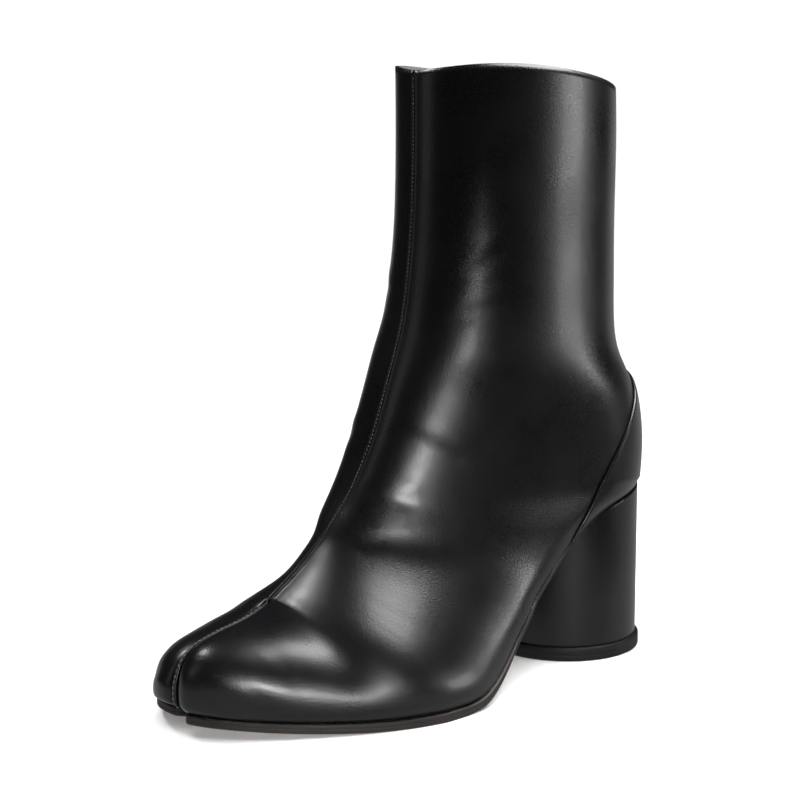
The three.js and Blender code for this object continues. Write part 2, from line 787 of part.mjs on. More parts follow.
// The upright strip of doubled leather whose stitched edge shows between the two lobes.
function webGeometry() {
  const front = [];
  const firstRow = kinkRow + webStart;
  for (let v = firstRow; v <= lastRow - webEnd; v += 0.5) {
    const row = sectionAt(v);
    const [, y, z] = toWorld(row, 0, depthOf(row, 'med') - webSink);
    front.push([-y, z]);
  }
  const rear = [];
  for (let v = crotchRow; v >= firstRow; v -= 0.4) {
    const row = sectionAt(v);
    const [, y, z] = toWorld(row, 0, row.depth * (1 - row.cleft));
    rear.push([-y + webThickness, z + clearance]);
  }
  return extrudedAcross([...front, ...rear], webThickness, cleftX);
}

const leather = { color: 0x141414, roughness: 0.32, metalness: 0 };
const finishes = {
  upper: leather,
  counter: leather,
  toe_web: leather,
  outsole: { color: 0x1b1512, roughness: 0.45, metalness: 0 },
  insole: { color: 0x2a2623, roughness: 0.7, metalness: 0 },
  heel_block: leather,
  top_lift: { color: 0x161514, roughness: 0.6, metalness: 0 },
};
const shapes = {
  upper: upperGeometry,
  counter: counterGeometry,
  toe_web: webGeometry,
  outsole: outsoleGeometry,
  insole: insoleGeometry,
  heel_block: heelGeometry,
  top_lift: liftGeometry,
};

const boot = new THREE.Group();
for (const [name, shape] of Object.entries(shapes)) {
  const geometry = shape();
  geometry.deleteAttribute('normal');
  geometry.deleteAttribute('uv');
  const merged = mergeVertices(geometry, 1e-4);
  merged.computeVertexNormals();
  const mesh = new THREE.Mesh(merged, new THREE.MeshStandardMaterial(finishes[name]));
  mesh.name = name;
  boot.add(mesh);
}

// The origin is the middle of the footprint, on the floor.
const middle = new THREE.Box3().setFromObject(boot).getCenter(new THREE.Vector3());
boot.position.set(-middle.x, -middle.y, 0);

export default boot;
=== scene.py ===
import math
import bmesh
import bpy
import numpy as np
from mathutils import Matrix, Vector


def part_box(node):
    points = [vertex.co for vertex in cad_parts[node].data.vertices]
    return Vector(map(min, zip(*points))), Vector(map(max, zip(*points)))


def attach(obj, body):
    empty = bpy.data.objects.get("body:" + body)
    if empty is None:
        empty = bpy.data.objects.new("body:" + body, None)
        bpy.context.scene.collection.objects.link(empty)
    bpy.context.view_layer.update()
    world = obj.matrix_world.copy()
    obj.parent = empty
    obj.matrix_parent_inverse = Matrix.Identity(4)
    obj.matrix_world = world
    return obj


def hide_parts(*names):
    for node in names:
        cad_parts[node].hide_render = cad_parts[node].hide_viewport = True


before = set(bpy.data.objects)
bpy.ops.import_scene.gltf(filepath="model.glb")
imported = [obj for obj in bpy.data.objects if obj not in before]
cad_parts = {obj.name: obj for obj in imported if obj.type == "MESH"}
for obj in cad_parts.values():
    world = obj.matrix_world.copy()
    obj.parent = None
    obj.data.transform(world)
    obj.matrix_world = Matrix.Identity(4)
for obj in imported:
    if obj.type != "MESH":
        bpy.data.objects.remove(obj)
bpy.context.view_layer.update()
print("frame loaded:", sorted(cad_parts))

# Sizes in millimetres, as in the part's source. s runs forward from the back of the heel.
boot = {
    "length": 222.5, "ballWidth": 90, "seatWidth": 57, "heelHeight": 70, "toeSpring": 5,
    "shaftRise": 153, "shaftDepth": 98, "shaftWidth": 66, "archLat": 7, "archMed": 3.5,
    "instepDepth": 104, "toeHeight": 35, "swell": 2, "wall": 1.8, "clearance": 0.3,
    "soleThickness": 3.6, "waistThickness": 2, "seatThickness": 1, "soleLedge": 1.4,
    "seatInset": 1, "heelRadius": 29.6, "liftRadius": 31, "liftHeight": 5.6,
    "cleftX": -12, "cleftGap": 5, "noseRound": 7, "medialSetback": 3.5, "heelSet": 4,
    "counterTop": 47, "counterReach": 54, "heelRow": 10, "kinkRow": 20, "crotchRow": 23,
}
lipWidth = {"lat": 4.5, "med": 4}
lipDrop = {"lat": 3.2, "med": 2.8}
sides = "lat", "med"
sign = {"lat": 1, "med": -1}

# The row frame's origin is the middle of the footprint; the lift's box gives the offset.
liftLow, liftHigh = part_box("top_lift")
offsetX = 500 * (liftLow.x + liftHigh.x)
offsetY = 500 * (liftLow.y + liftHigh.y) + boot["liftRadius"]


def table(names, rows):
    return dict(zip(names.split(), np.array(rows, float).T))


# rise, back and depth are shares of the shaft's rise and depth, lat and med of its width,
# latSeat and medSeat of the seat's width.
shaftRows = table("rise back tilt depth lat med latSeat medSeat belly latFull medFull seam", [
    (1, .13, 8, .998, .485, .515, 0, 0, .5, 2.1, 2.1, .21),
    (.89, .12, 6, 1.003, .48, .512, 0, 0, .5, 2.1, 2.1, .21),
    (.76, .12, 4.6, 1.004, .476, .51, 0, 0, .5, 2.1, 2.1, .21),
    (.64, .12, 3.8, 1.013, .474, .51, 0, 0, .5, 2.1, 2.1, .22),
    (.53, .12, 3.4, 1.031, .48, .515, 0, 0, .49, 2.1, 2.15, .235),
    (.43, .12, 3.6, 1.055, .49, .52, 0, 0, .48, 2.1, 2.25, .26),
    (.345, .098, 3.7, 1.112, .34, .354, .191, .198, .45, 2.1, 2.5, .295),
    (.265, .035, 3.3, 1.216, .172, .175, .397, .405, .38, 2.1, 2.7, .335),
    (.18, 0, 3.4, 1.292, 0, 0, .593, .596, .33, 2.15, 2.9, .385),
    (.09, -.01, 4.6, 1.347, 0, 0, .585, .579, .29, 2.15, 3, .44),
    (0, 0, 6.3, 1.388, 0, 0, .577, .565, .27, 2.15, 3, .5),
])
seatRows = table("station tilt depth lat med belly latFull medFull seam", [
    (.063, 4.3, 1.246, .57, .555, .24, 2.1, 2.9, .55),
    (.135, 3.6, 1.13, .566, .54, .19, 2.05, 2.75, .6),
    (.216, 5.4, .997, .56, .52, .15, 2, 2.5, .655),
])
footRows = table("station tilt depth second bulge belly latFull medFull seam cleft", [
    (.3, 11.7, .866, 1, 1, .15, 1.97, 2.25, .72, 0),
    (.38, 21, .771, 1, 1.1, .16, 2, 2.05, .78, 0),
    (.455, 31.8, .706, 1, 1.1, .18, 2.05, 1.85, .835, 0),
    (.53, 42, .642, 1, 1, .18, 2.02, 1.72, .89, 0),
    (.605, 50.1, .546, 1, 1, .175, 1.96, 1.68, .935, 0),
    (.68, 60.8, .453, 1, 1, .165, 1.9, 1.68, .975, 0),
    (.745, 73, .389, 1, 1, .15, 1.85, 1.72, 1, 0),
    (.782, 76.9, .361, .965, 1, .14, 1.83, 1.74, 1, .3),
    (.815, 77.5, .341, .93, 1, .13, 1.82, 1.75, 1, .66),
    (.845, 75.8, .325, .905, 1, .12, 1.8, 1.75, 1, 1),
])
toeRows = table("station tilt depth second bulge belly latFull medFull drop", [
    (.868, 71.5, .937, .895, 1, .115, 1.8, 1.75, 1),
    (.886, 64.2, .914, .885, .9, .1, 1.8, 1.74, 1.05),
    (.9, 57.6, .88, .875, .7, .07, 1.8, 1.72, 1.1),
    (.911, 50, .814, .88, .4, .03, 1.82, 1.7, 1.2),
    (.92, 40.8, .714, .9, 0, -.15, 1.8, 1.7, 1.3),
    (.928, 28.9, .591, .95, 0, -.8, 1.75, 1.85, 1.45),
    (.935, 15.4, .474, .95, 0, -2.4, 1.55, 2.05, 1.6),
    (.942, 6, .328, .72, 0, -6, 1.4, 2.2, 1.75),
])
soleRows = table("station height seat waist fore", [
    (0, 1, 1, 0, 0), (.067, .963, 1, 0, 0), (.135, .918, 1, 0, 0), (.19, .853, .8, .2, 0),
    (.247, .738, .3, .7, 0), (.306, .588, 0, 1, 0), (.36, .442, 0, 1, 0),
    (.413, .292, 0, .9, .1), (.463, .156, 0, .6, .4), (.508, .06, 0, .3, .7),
    (.548, .014, 0, .1, .9), (.585, 0, 0, 0, 1), (.72, 0, 0, 0, 1), (1, 0, 0, 0, .92),
])
outlineRows = table("station latSeat latBall medSeat medBall ledge", [
    (.15, .5, 0, .495, 0, 0), (.21, .505, 0, .485, 0, 0), (.26, .4, .072, .38, .054, .15),
    (.315, .2, .21, .2, .15, .3), (.37, 0, .362, 0, .284, .45), (.427, 0, .403, 0, .317, .6),
    (.485, 0, .451, 0, .367, .8), (.548, 0, .488, 0, .422, 1), (.63, 0, .498, 0, .478, 1),
    (.72, 0, .498, 0, .5, 1), (.84, 0, .498, 0, .502, 1),
])
foreStart = {"lat": .63, "med": .84}
foreFull = {"lat": 1.4, "med": 2.2}


# Cubic pieces between knots, with harmonic-mean slopes, so the curve never overshoots.
def evenRead(xs, ys, x):
    gap = np.diff(xs)
    secant = np.diff(ys) / gap
    slope = np.empty_like(ys)
    slope[0], slope[-1] = secant[0], secant[-1]
    a, b = secant[:-1], secant[1:]
    both = np.where(a * b > 0, a + b, 1)
    slope[1:-1] = np.where(a * b > 0, 2 * a * b / both, 0)
    x = np.clip(x, xs[0], xs[-1])
    i = np.clip(np.searchsorted(xs, x, side="right") - 1, 0, len(xs) - 2)
    h = gap[i]
    t = (x - xs[i]) / h
    u = 1 - t
    ends = ys[i] * u * u * (1 + 2 * t) + ys[i + 1] * t * t * (3 - 2 * t)
    return ends + h * t * u * (slope[i] * u - slope[i + 1] * t)


# Natural cubic spline: the second derivatives m solve the usual three-band system, so
# that slope and curvature run on through every knot.
def springRead(xs, ys, x):
    n = len(xs)
    h = np.diff(xs)
    bands = np.eye(n)
    right = np.zeros(n)
    for i in range(1, n - 1):
        bands[i, i - 1:i + 2] = h[i - 1], 2 * (h[i - 1] + h[i]), h[i]
        right[i] = 6 * ((ys[i + 1] - ys[i]) / h[i] - (ys[i] - ys[i - 1]) / h[i - 1])
    m = np.linalg.solve(bands, right)
    x = np.clip(x, xs[0], xs[-1])
    i = np.clip(np.searchsorted(xs, x, side="right") - 1, 0, n - 2)
    a, b, w = xs[i + 1] - x, x - xs[i], h[i]
    bend = m[i] * a ** 3 / (6 * w) + m[i + 1] * b ** 3 / (6 * w)
    return bend + (ys[i] / w - m[i] * w / 6) * a + (ys[i + 1] / w - m[i + 1] * w / 6) * b


def along(rows, name, s):
    return evenRead(rows["station"] * boot["length"], rows[name], s)


# Height of the sole's underside: the arch table, and a toe spring that grows as the
# 1.5th power of the run past the flat of the forepart.
def undersideZ(s):
    start = .72 * boot["length"]
    run = np.clip(s - start, 0, None) / (boot["length"] - start)
    return boot["heelHeight"] * along(soleRows, "height", s) + boot["toeSpring"] * run ** 1.5


# The sole's thickness: its three sizes, each by its share at s.
def soleThick(s):
    parts = zip(("seat", "waist", "fore"), ("seatThickness", "waistThickness", "soleThickness"))
    return sum(boot[size] * along(soleRows, name, s) for name, size in parts)


def soleTopZ(s):
    return undersideZ(s) + soleThick(s)


# Height of the edge where the upper meets the sole.
def featherZ(s):
    return soleTopZ(s) + boot["clearance"]


# A straight rise from 0 to 1 that begins at start and takes run; it falls where run is below 0.
def ramp(x, start, run):
    return np.clip((x - start) / run, 0, 1)


def bump(d, width):
    return np.exp(-(d / width) ** 2)


# A quarter of a superellipse: the nth root of 1 less t to the n.
def superQuarter(t, n):
    return (1 - np.clip(t, 0, 1) ** n) ** (1 / n)


def upperTip(side):
    return boot["length"] - boot["soleLedge"] - (boot["medialSetback"] if side == "med" else 0)


def noseX(side):
    return boot["cleftX"] + sign[side] * (boot["cleftGap"] / 2 + lipWidth[side])


# Half width of the bottom edge at s: a quarter superellipse round the heel, the outline
# table along the waist, and another quarter superellipse to the tip of the nose.
def edgeHalf(side, s, grow=0.0):
    s = np.asarray(s, float)
    grow = np.broadcast_to(grow, s.shape)

    def half(at):
        seat, ball = along(outlineRows, side + "Seat", at), along(outlineRows, side + "Ball", at)
        return seat * boot["seatWidth"] + ball * boot["ballWidth"]

    seatEnd = outlineRows["station"][0] * boot["length"]
    start = foreStart[side] * boot["length"]
    inner = sign[side] * noseX(side)
    heel = (half(seatEnd) + grow) * superQuarter((seatEnd - s) / (seatEnd - boot["heelSet"] + grow), 2.15)
    toe = inner + (half(start) + grow - inner) * superQuarter(
        (s - start) / (upperTip(side) + grow - start), foreFull[side])
    return np.where(s < seatEnd, heel, np.where(s > start, toe, half(s) + grow))


def toMetres(x, s, z):
    place = np.stack(np.broadcast_arrays(x + offsetX, offsetY - s, z), -1)
    return place / 1000


# All sections in one set of columns, from the collar (0) to the noses (31).
def sectionColumns():
    size = boot
    whole = np.concatenate
    ones = {name: np.ones(len(rows["tilt"])) for name, rows in
            (("shaft", shaftRows), ("seat", seatRows), ("foot", footRows), ("toe", toeRows))}
    seatS, footS, toeS = (r["station"] * size["length"] for r in (seatRows, footRows, toeRows))
    columns = {
        "s": whole([size["heelSet"] + shaftRows["back"] * size["shaftDepth"], seatS, footS, toeS]),
        "depth": whole([shaftRows["depth"] * size["shaftDepth"], seatRows["depth"] * size["instepDepth"],
                        footRows["depth"] * size["instepDepth"], toeRows["depth"] * size["toeHeight"]]),
        "seam": size["cleftX"] * whole([shaftRows["seam"], seatRows["seam"], footRows["seam"], ones["toe"]]),
        "cleft": whole([0 * ones["shaft"], 0 * ones["seat"], footRows["cleft"], ones["toe"]]),
        "drop": whole([ones["shaft"], ones["seat"], ones["foot"], toeRows["drop"]]),
        "second": whole([ones["shaft"], ones["seat"], footRows["second"], toeRows["second"]]),
    }
    for name in ("tilt", "belly", "latFull", "medFull"):
        columns[name] = whole([rows[name] for rows in (shaftRows, seatRows, footRows, toeRows)])
    for side in sides:
        foot = edgeHalf(side, footS) + footRows["bulge"] * size["swell"]
        toe = edgeHalf(side, toeS) + toeRows["bulge"] * size["swell"]
        shaft = shaftRows[side] * size["shaftWidth"] + shaftRows[side + "Seat"] * size["seatWidth"]
        columns[side] = whole([shaft, seatRows[side] * size["seatWidth"], foot, toe])
    return columns


sections = sectionColumns()
rowNumbers = np.arange(len(sections["s"]), dtype=float)
lastRow = rowNumbers[-1]

# Each section runs from a back point to a front point. The back points go down the back
# seam and turn forward along the sole at the heel row; the front points are one curve.
shaftZ = featherZ(boot["heelSet"]) + shaftRows["rise"] * boot["shaftRise"]
backZ = np.concatenate([shaftZ, featherZ(sections["s"][boot["heelRow"] + 1:])])
tilts = np.radians(sections["tilt"])
frontS = sections["s"] + sections["depth"] * np.cos(tilts)
frontZ = backZ + sections["depth"] * np.sin(tilts)


# The sections at any row numbers v, as columns that a grid of shares can be set against.
def sectionsAt(v):
    row = {name: springRead(rowNumbers, ys, v)[:, None] for name, ys in sections.items()}
    heel = boot["heelRow"]
    upS = springRead(rowNumbers[:heel + 1], sections["s"][:heel + 1], v)
    onS = springRead(rowNumbers[heel:], sections["s"][heel:], v)
    row["s"] = np.where(v > heel, onS, upS)[:, None]
    z = np.where(v > heel, featherZ(onS), springRead(rowNumbers[:heel + 1], shaftZ, v))
    row["z"] = z[:, None]
    ahead = springRead(rowNumbers, frontS, v)[:, None] - row["s"]
    above = springRead(rowNumbers, frontZ, v)[:, None] - row["z"]
    row["depth"], row["tilt"] = np.hypot(ahead, above), np.arctan2(above, ahead)
    v, kink, crotch = v[:, None], boot["kinkRow"], boot["crotchRow"]
    row["v"], row["onBottom"] = v, v > heel
    row["cleft"] = np.where(v > crotch, 1, np.clip(row["cleft"], 0, 1) * (v > kink))
    row["second"] = evenRead(rowNumbers, sections["second"], v)
    row["opened"], row["apart"] = ramp(v, kink, crotch - kink), ramp(v, kink, crotch + 1 - kink)
    row["grown"] = np.sqrt(row["opened"])
    return row


# One half of the sections. share runs from the back seam or bottom edge (0) to the front
# line (1) along a superellipse that is widest at the belly and cut short by the sole; its
# centre line leans from the sole's middle to the seam, or stands under a lobe's crest.
# Gives x across and q along the section's depth.
def sectionCurve(row, side, share):
    out = sign[side]
    depth = row["depth"] * (row["second"] if side == "med" else 1)
    apart = boot["cleftGap"] / 2 + lipWidth[side]
    crest = row["seam"] + out * row["grown"] * apart
    # away from the lip the crest moves over more softly than at the lip itself
    beside = 1 - bump(1 - share, .13)
    eased = row["opened"] ** 2 * (3 - 2 * row["opened"])
    pulled = row["seam"] + out * eased * apart
    power = 2 / row[side + "Full"]
    edge = np.where(row["onBottom"], edgeHalf(side, row["s"]), 0)
    belly = row["belly"]
    widest = belly * depth
    edgeSpan = np.where(row["onBottom"], edge - out * pulled * row["apart"], 0)

    def lean(q):
        return row["apart"] + (1 - row["apart"]) * np.clip(q / depth, 0, None) ** 1.5

    noseStart = np.arcsin(np.clip(-widest / (depth - widest), 0, .999) ** (1 / power))
    noseAngle = noseStart + (np.pi / 2 - noseStart) * share
    wide = edgeSpan * (np.clip(np.cos(noseAngle), 0, None) / np.cos(noseStart)) ** power
    tipX, tipQ = crest + out * wide, widest + (depth - widest) * np.sin(noseAngle) ** power

    swollen = (row[side] - edge) * np.clip(belly / .15, 0, 1)
    half = edge + swollen - out * pulled * lean(widest)
    start = -np.arccos(np.clip(edgeSpan / half, 0, .9995) ** (1 / power))
    split = .45 * np.clip(2.2 * belly, 0, 1) ** .6
    safe = np.where(split > 1e-6, split, 1)
    angle = np.where(share < split, start * (1 - share / safe), np.pi / 2 * (share - split) / (1 - split))
    rise = np.sin(angle)
    lower = widest / np.abs(np.sin(start)) ** power
    q = np.where(rise >= 0, widest + (depth - widest) * np.abs(rise) ** power,
                 widest - lower * np.abs(rise) ** power)
    local = crest * (1 - beside) + pulled * beside
    x = local * lean(q) + out * half * np.clip(np.cos(angle), 0, None) ** power
    nose = belly <= 0
    return np.where(nose, tipX, x), np.where(nose, tipQ, q), crest, depth


# How far the collar's edge stands up between its seams: a power of a half sine, which dies
# out over three rows.
def archAt(v, side, share):
    rise = boot["archLat"] if side == "lat" else boot["archMed"]
    return rise * np.clip(1 - v / 3, 0, None) * np.sin(np.pi * np.clip(share, 0, 1)) ** 1.4


# The point x across and q along a section's depth, raised by arch.
def onSection(row, x, q, arch=0.0):
    return toMetres(x, row["s"] + q * np.cos(row["tilt"]), row["z"] + q * np.sin(row["tilt"]) + arch)


# The share at which each section comes within a distance of its crest, by halving.
def shareWithin(row, side, distance):
    low, high = np.full_like(row["s"], .5), np.ones_like(row["s"])
    for _ in range(28):
        middle = (low + high) / 2
        x, q, crest, depth = sectionCurve(row, side, middle)
        far = np.hypot(x - crest, q - depth) > distance
        low, high = np.where(far, middle, low), np.where(far, high, middle)
    return high


# Counts of columns, and sizes in mm of the turned edges, their groove and the lip's bead.
upperLook = {
    "faceColumns": 56, "edgeColumns": 14, "edgeWidth": 5.5, "lipColumns": 9, "wallColumns": 4,
    "ridgeHeight": .5, "ridgeOut": .95, "ridgeWidth": .62, "grooveDepth": .35, "grooveWidth": .28,
    "beadHeight": .38, "beadWidth": .6, "wall": 1.5,
}
# Soft folds of the leather: the side, two ends as (row, share), and depth and width in mm.
creases = [
    {"side": "lat", "start": (4.2, .86), "end": (2.9, .6), "depth": .3, "width": 5},
    {"side": "lat", "start": (4.9, .82), "end": (4.2, .58), "depth": .2, "width": 5},
    {"side": "lat", "start": (8.2, .9), "end": (9.3, .66), "depth": .3, "width": 6},
    {"side": "lat", "start": (10.5, .93), "end": (11.5, .72), "depth": .2, "width": 6},
    {"side": "lat", "start": (13.6, .93), "end": (14.4, .74), "depth": .2, "width": 6},
    {"side": "med", "start": (8.6, .9), "end": (9.6, .62), "depth": .4, "width": 6},
    {"side": "med", "start": (4.4, .86), "end": (3.6, .6), "depth": .3, "width": 5},
]


# How the halves are faired, in rows: the step between samples, the widths of the bells
# round the heel row and behind the kink, and the bell of the running mean in samples.
fairLook = {"step": .05, "heelWidth": 1.7, "lipWidth": 2.2, "lipAfter": 1.2, "mean": 9}
# The rows after the heel row at which the upper is read: closely at first.
afterHeel = [0, .01, .03, .06, .1, .15, .22, .3, .4, .5, .62, .76, .9]


# The row numbers of the fine grid: even, apart from those after the heel row and the keys.
def fineRows():
    even = np.linspace(0, lastRow, 250)
    near = boot["heelRow"] + np.array(afterHeel)
    keys = [boot["heelRow"], boot["kinkRow"], boot["crotchRow"]]
    rest = even[np.abs(even - boot["heelRow"] - .48) > .52]
    return np.unique(np.concatenate([rest, near, keys]).round(5))


# Outward normals of a grid of points, from the differences along its two directions.
def gridNormals(points, out):
    alongRows = np.gradient(points, axis=0)
    across = np.gradient(points, axis=1)
    normal = np.cross(across, alongRows) * out
    length = np.linalg.norm(normal, axis=-1, keepdims=True)
    return normal / np.where(length > 1e-12, length, 1)


# The troughs of the creases: each is a bell across a straight line between two points of
# the face, faded at both ends, with a lower ridge beside it.
def creaseDepth(points, side):
    total = np.zeros(points.shape[:2])
    for fold in creases:
        if fold["side"] != side:
            continue
        ends = []
        for rowNumber, share in (fold["start"], fold["end"]):
            row = sectionsAt(np.array([float(rowNumber)]))
            x, q, *_ = sectionCurve(row, side, share)
            ends.append(onSection(row, x, q)[0, 0] * 1000)
        line = ends[1] - ends[0]
        t = ((points * 1000 - ends[0]) @ line) / (line @ line)
        across = points * 1000 - (ends[0] + np.clip(t, 0, 1)[..., None] * line)
        d = np.linalg.norm(across, axis=-1)
        high = across[..., 2]
        fade = bump(np.clip(np.abs(t - .5) - .32, 0, None), .16)
        trough = -bump(d, fold["width"] * .5)
        ridge = .7 * bump(d - fold["width"], fold["width"] * .6) * np.where(high > 0, 1, .35)
        total += fold["depth"] * fade * (trough + ridge)
    return total


# How much the turned edges of the front seam stand up: little on the shaft, more towards
# the toes, and nothing past the kink where the cleft takes over.
def seamStrength(v):
    return ramp(v, boot["kinkRow"] + .3, -.6) * (.35 + .65 * ramp(v, 11, 6))


# One half of the upper as a grid of points: the face with its turned edge at the front
# seam, then the lip of the cleft, the cleft's wall and its floor. Also gives the shares.
def rawHalf(v, side):
    look = upperLook
    row = sectionsAt(v)
    out = sign[side]
    near = shareWithin(row, side, look["edgeWidth"])
    face = np.linspace(0, 1, look["faceColumns"])[None, :] * near
    edge = near + (1 - near) * np.linspace(0, 1, look["edgeColumns"] + 1)[None, 1:] ** .8
    share = np.concatenate([face, edge], 1)
    x, q, crest, depth = sectionCurve(row, side, share)
    d = np.hypot(x - crest, q - depth)
    q = q + seamStrength(row["v"]) * (look["ridgeHeight"] * bump(d - look["ridgeOut"], look["ridgeWidth"])
                                      - look["grooveDepth"] * bump(d, look["grooveWidth"]))
    points = onSection(row, x, q, archAt(row["v"], side, share))

    wallX = row["seam"] + out * row["grown"] * boot["cleftGap"] / 2
    lip = row["grown"] * lipWidth[side]
    floor = row["depth"] * (1 - row["cleft"])
    drop = np.minimum(lipDrop[side] * row["drop"], depth - floor)
    angle = np.pi / 2 * np.linspace(0, 1, look["lipColumns"] + 1)[None, 1:]
    lipX = wallX + out * lip * (1 - np.sin(angle) ** .75)
    lipQ = depth - drop * (1 - np.cos(angle) ** .75)
    bead = np.clip(row["grown"] * 1.5, 0, 1) * look["beadHeight"] * bump(angle - .95, .28)
    lipX = lipX - out * bead * np.sin(angle) * .6
    lipQ = lipQ + bead * np.cos(angle)
    t = np.linspace(0, 1, look["wallColumns"] + 1)[None, 1:]
    wallQ = (depth - drop) * (1 - t) + floor * t
    wallXs = np.broadcast_to(wallX, wallQ.shape)
    tail = onSection(row, np.concatenate([lipX, wallXs, row["seam"]], 1),
                     np.concatenate([lipQ, wallQ, floor], 1))
    share = np.concatenate([share, np.ones((len(v), tail.shape[1]))], 1)
    return np.concatenate([points, tail], 1), share


# Running mean of the samples along the rows under a bell of the given width.
def softened(grid, width):
    reach = int(3 * width)
    offsets = np.arange(-reach, reach + 1)
    weights = bump(offsets, width * 1.414)
    padded = np.pad(grid, ((reach, reach), (0, 0), (0, 0)), mode="reflect", reflect_type="odd")
    return sum(w * padded[reach + k:reach + k + len(grid)] for k, w in zip(offsets, weights)) / weights.sum()


# The half faired along its rows where the back points turn forward and where the lips
# part, so that no ring shows on the face, and with the folds pressed in.
def upperHalf(v, side):
    look = fairLook
    dense = np.arange(0, lastRow + .001, look["step"])
    raw, share = rawHalf(dense, side)
    heel = bump(dense - boot["heelRow"], look["heelWidth"])[:, None] * ramp(share, .28, .3)
    lips = bump(dense - boot["kinkRow"] - look["lipAfter"], look["lipWidth"])[:, None]
    lips = lips * ramp(share, .93, -.12) * ramp(share, .1, .2)
    change = np.maximum(heel, lips)[..., None] * (softened(raw, look["mean"]) - raw)
    points, share = rawHalf(v, side)
    at = np.clip(v / look["step"], 0, len(dense) - 1.001)
    i, t = at.astype(int), (at % 1)[:, None, None]
    points = points + change[i] * (1 - t) + change[i + 1] * t
    push = creaseDepth(points, side) * ramp(share, 1, -.05)
    return points + gridNormals(points, sign[side]) * push[..., None] / 1000


# Faces of a grid in rows and columns, optionally turned over.
def gridFaces(rows, columns, turned=False):
    i, j = np.meshgrid(np.arange(rows - 1), np.arange(columns - 1), indexing="ij")
    a = (i * columns + j).ravel()
    quads = np.stack([a, a + columns, a + columns + 1, a + 1], 1)
    return quads[:, ::-1] if turned else quads


# The points of several grids in one list, and the faces of each, numbered for that list.
def joinGrids(grids, turned):
    starts = np.cumsum([0] + [grid.shape[0] * grid.shape[1] for grid in grids])
    faces = [gridFaces(*grid.shape[:2], flip) + start for grid, flip, start in zip(grids, turned, starts)]
    return np.concatenate([grid.reshape(-1, 3) for grid in grids]), faces


def newObject(name, data):
    made = bpy.data.objects.new(name, data)
    bpy.context.scene.collection.objects.link(made)
    return made


def rawMesh(name, points, faces):
    mesh = bpy.data.meshes.new(name)
    mesh.from_pydata(points.reshape(-1, 3).tolist(), [], [face.tolist() for face in faces])
    return mesh


# A smooth piece, with its doubles merged and stray points taken away.
def meshFrom(name, points, faces, merge=2e-6):
    mesh = rawMesh(name, points, faces)
    bm = bmesh.new()
    bm.from_mesh(mesh)
    bmesh.ops.remove_doubles(bm, verts=bm.verts, dist=merge)
    bmesh.ops.dissolve_degenerate(bm, edges=bm.edges, dist=1e-7)
    bmesh.ops.delete(bm, geom=[v for v in bm.verts if not v.link_faces], context="VERTS")
    bm.to_mesh(mesh)
    bm.free()
    mesh.polygons.foreach_set("use_smooth", np.full(len(mesh.polygons), True))
    return newObject(name, mesh)


# Turns the faces of a closed piece outwards, after closing it where it is open.
def recalculate(piece, closing=False):
    bm = bmesh.new()
    bm.from_mesh(piece.data)
    if closing:
        bmesh.ops.holes_fill(bm, edges=[edge for edge in bm.edges if edge.is_boundary])
    bmesh.ops.recalc_face_normals(bm, faces=bm.faces)
    bm.to_mesh(piece.data)
    bm.free()


# A wall in metres under a sheet's outer face.
def addWall(piece, thickness):
    wall = piece.modifiers.new("wall", "SOLIDIFY")
    wall.thickness, wall.offset = thickness, -1
    return wall


def finishPiece(piece, nodes, slot, *materials):
    for material in materials:
        piece.data.materials.append(material)
    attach(piece, "root")
    if nodes:
        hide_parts(*nodes)
    print(piece.name, "with", len(piece.data.polygons), "faces")


# Shader maths: Sum wraps a node socket, and its operators add Math nodes.
class Sum:
    def __init__(self, finish, socket):
        self.finish, self.socket = finish, socket

    def math(self, operation, first, second):
        return self.finish.node("ShaderNodeMath", {"operation": operation}, {0: first, 1: second})

    def __add__(self, other): return self.math("ADD", self, other)
    def __radd__(self, other): return self.math("ADD", other, self)
    def __sub__(self, other): return self.math("SUBTRACT", self, other)
    def __rsub__(self, other): return self.math("SUBTRACT", other, self)
    def __mul__(self, other): return self.math("MULTIPLY", self, other)
    def __rmul__(self, other): return self.math("MULTIPLY", other, self)


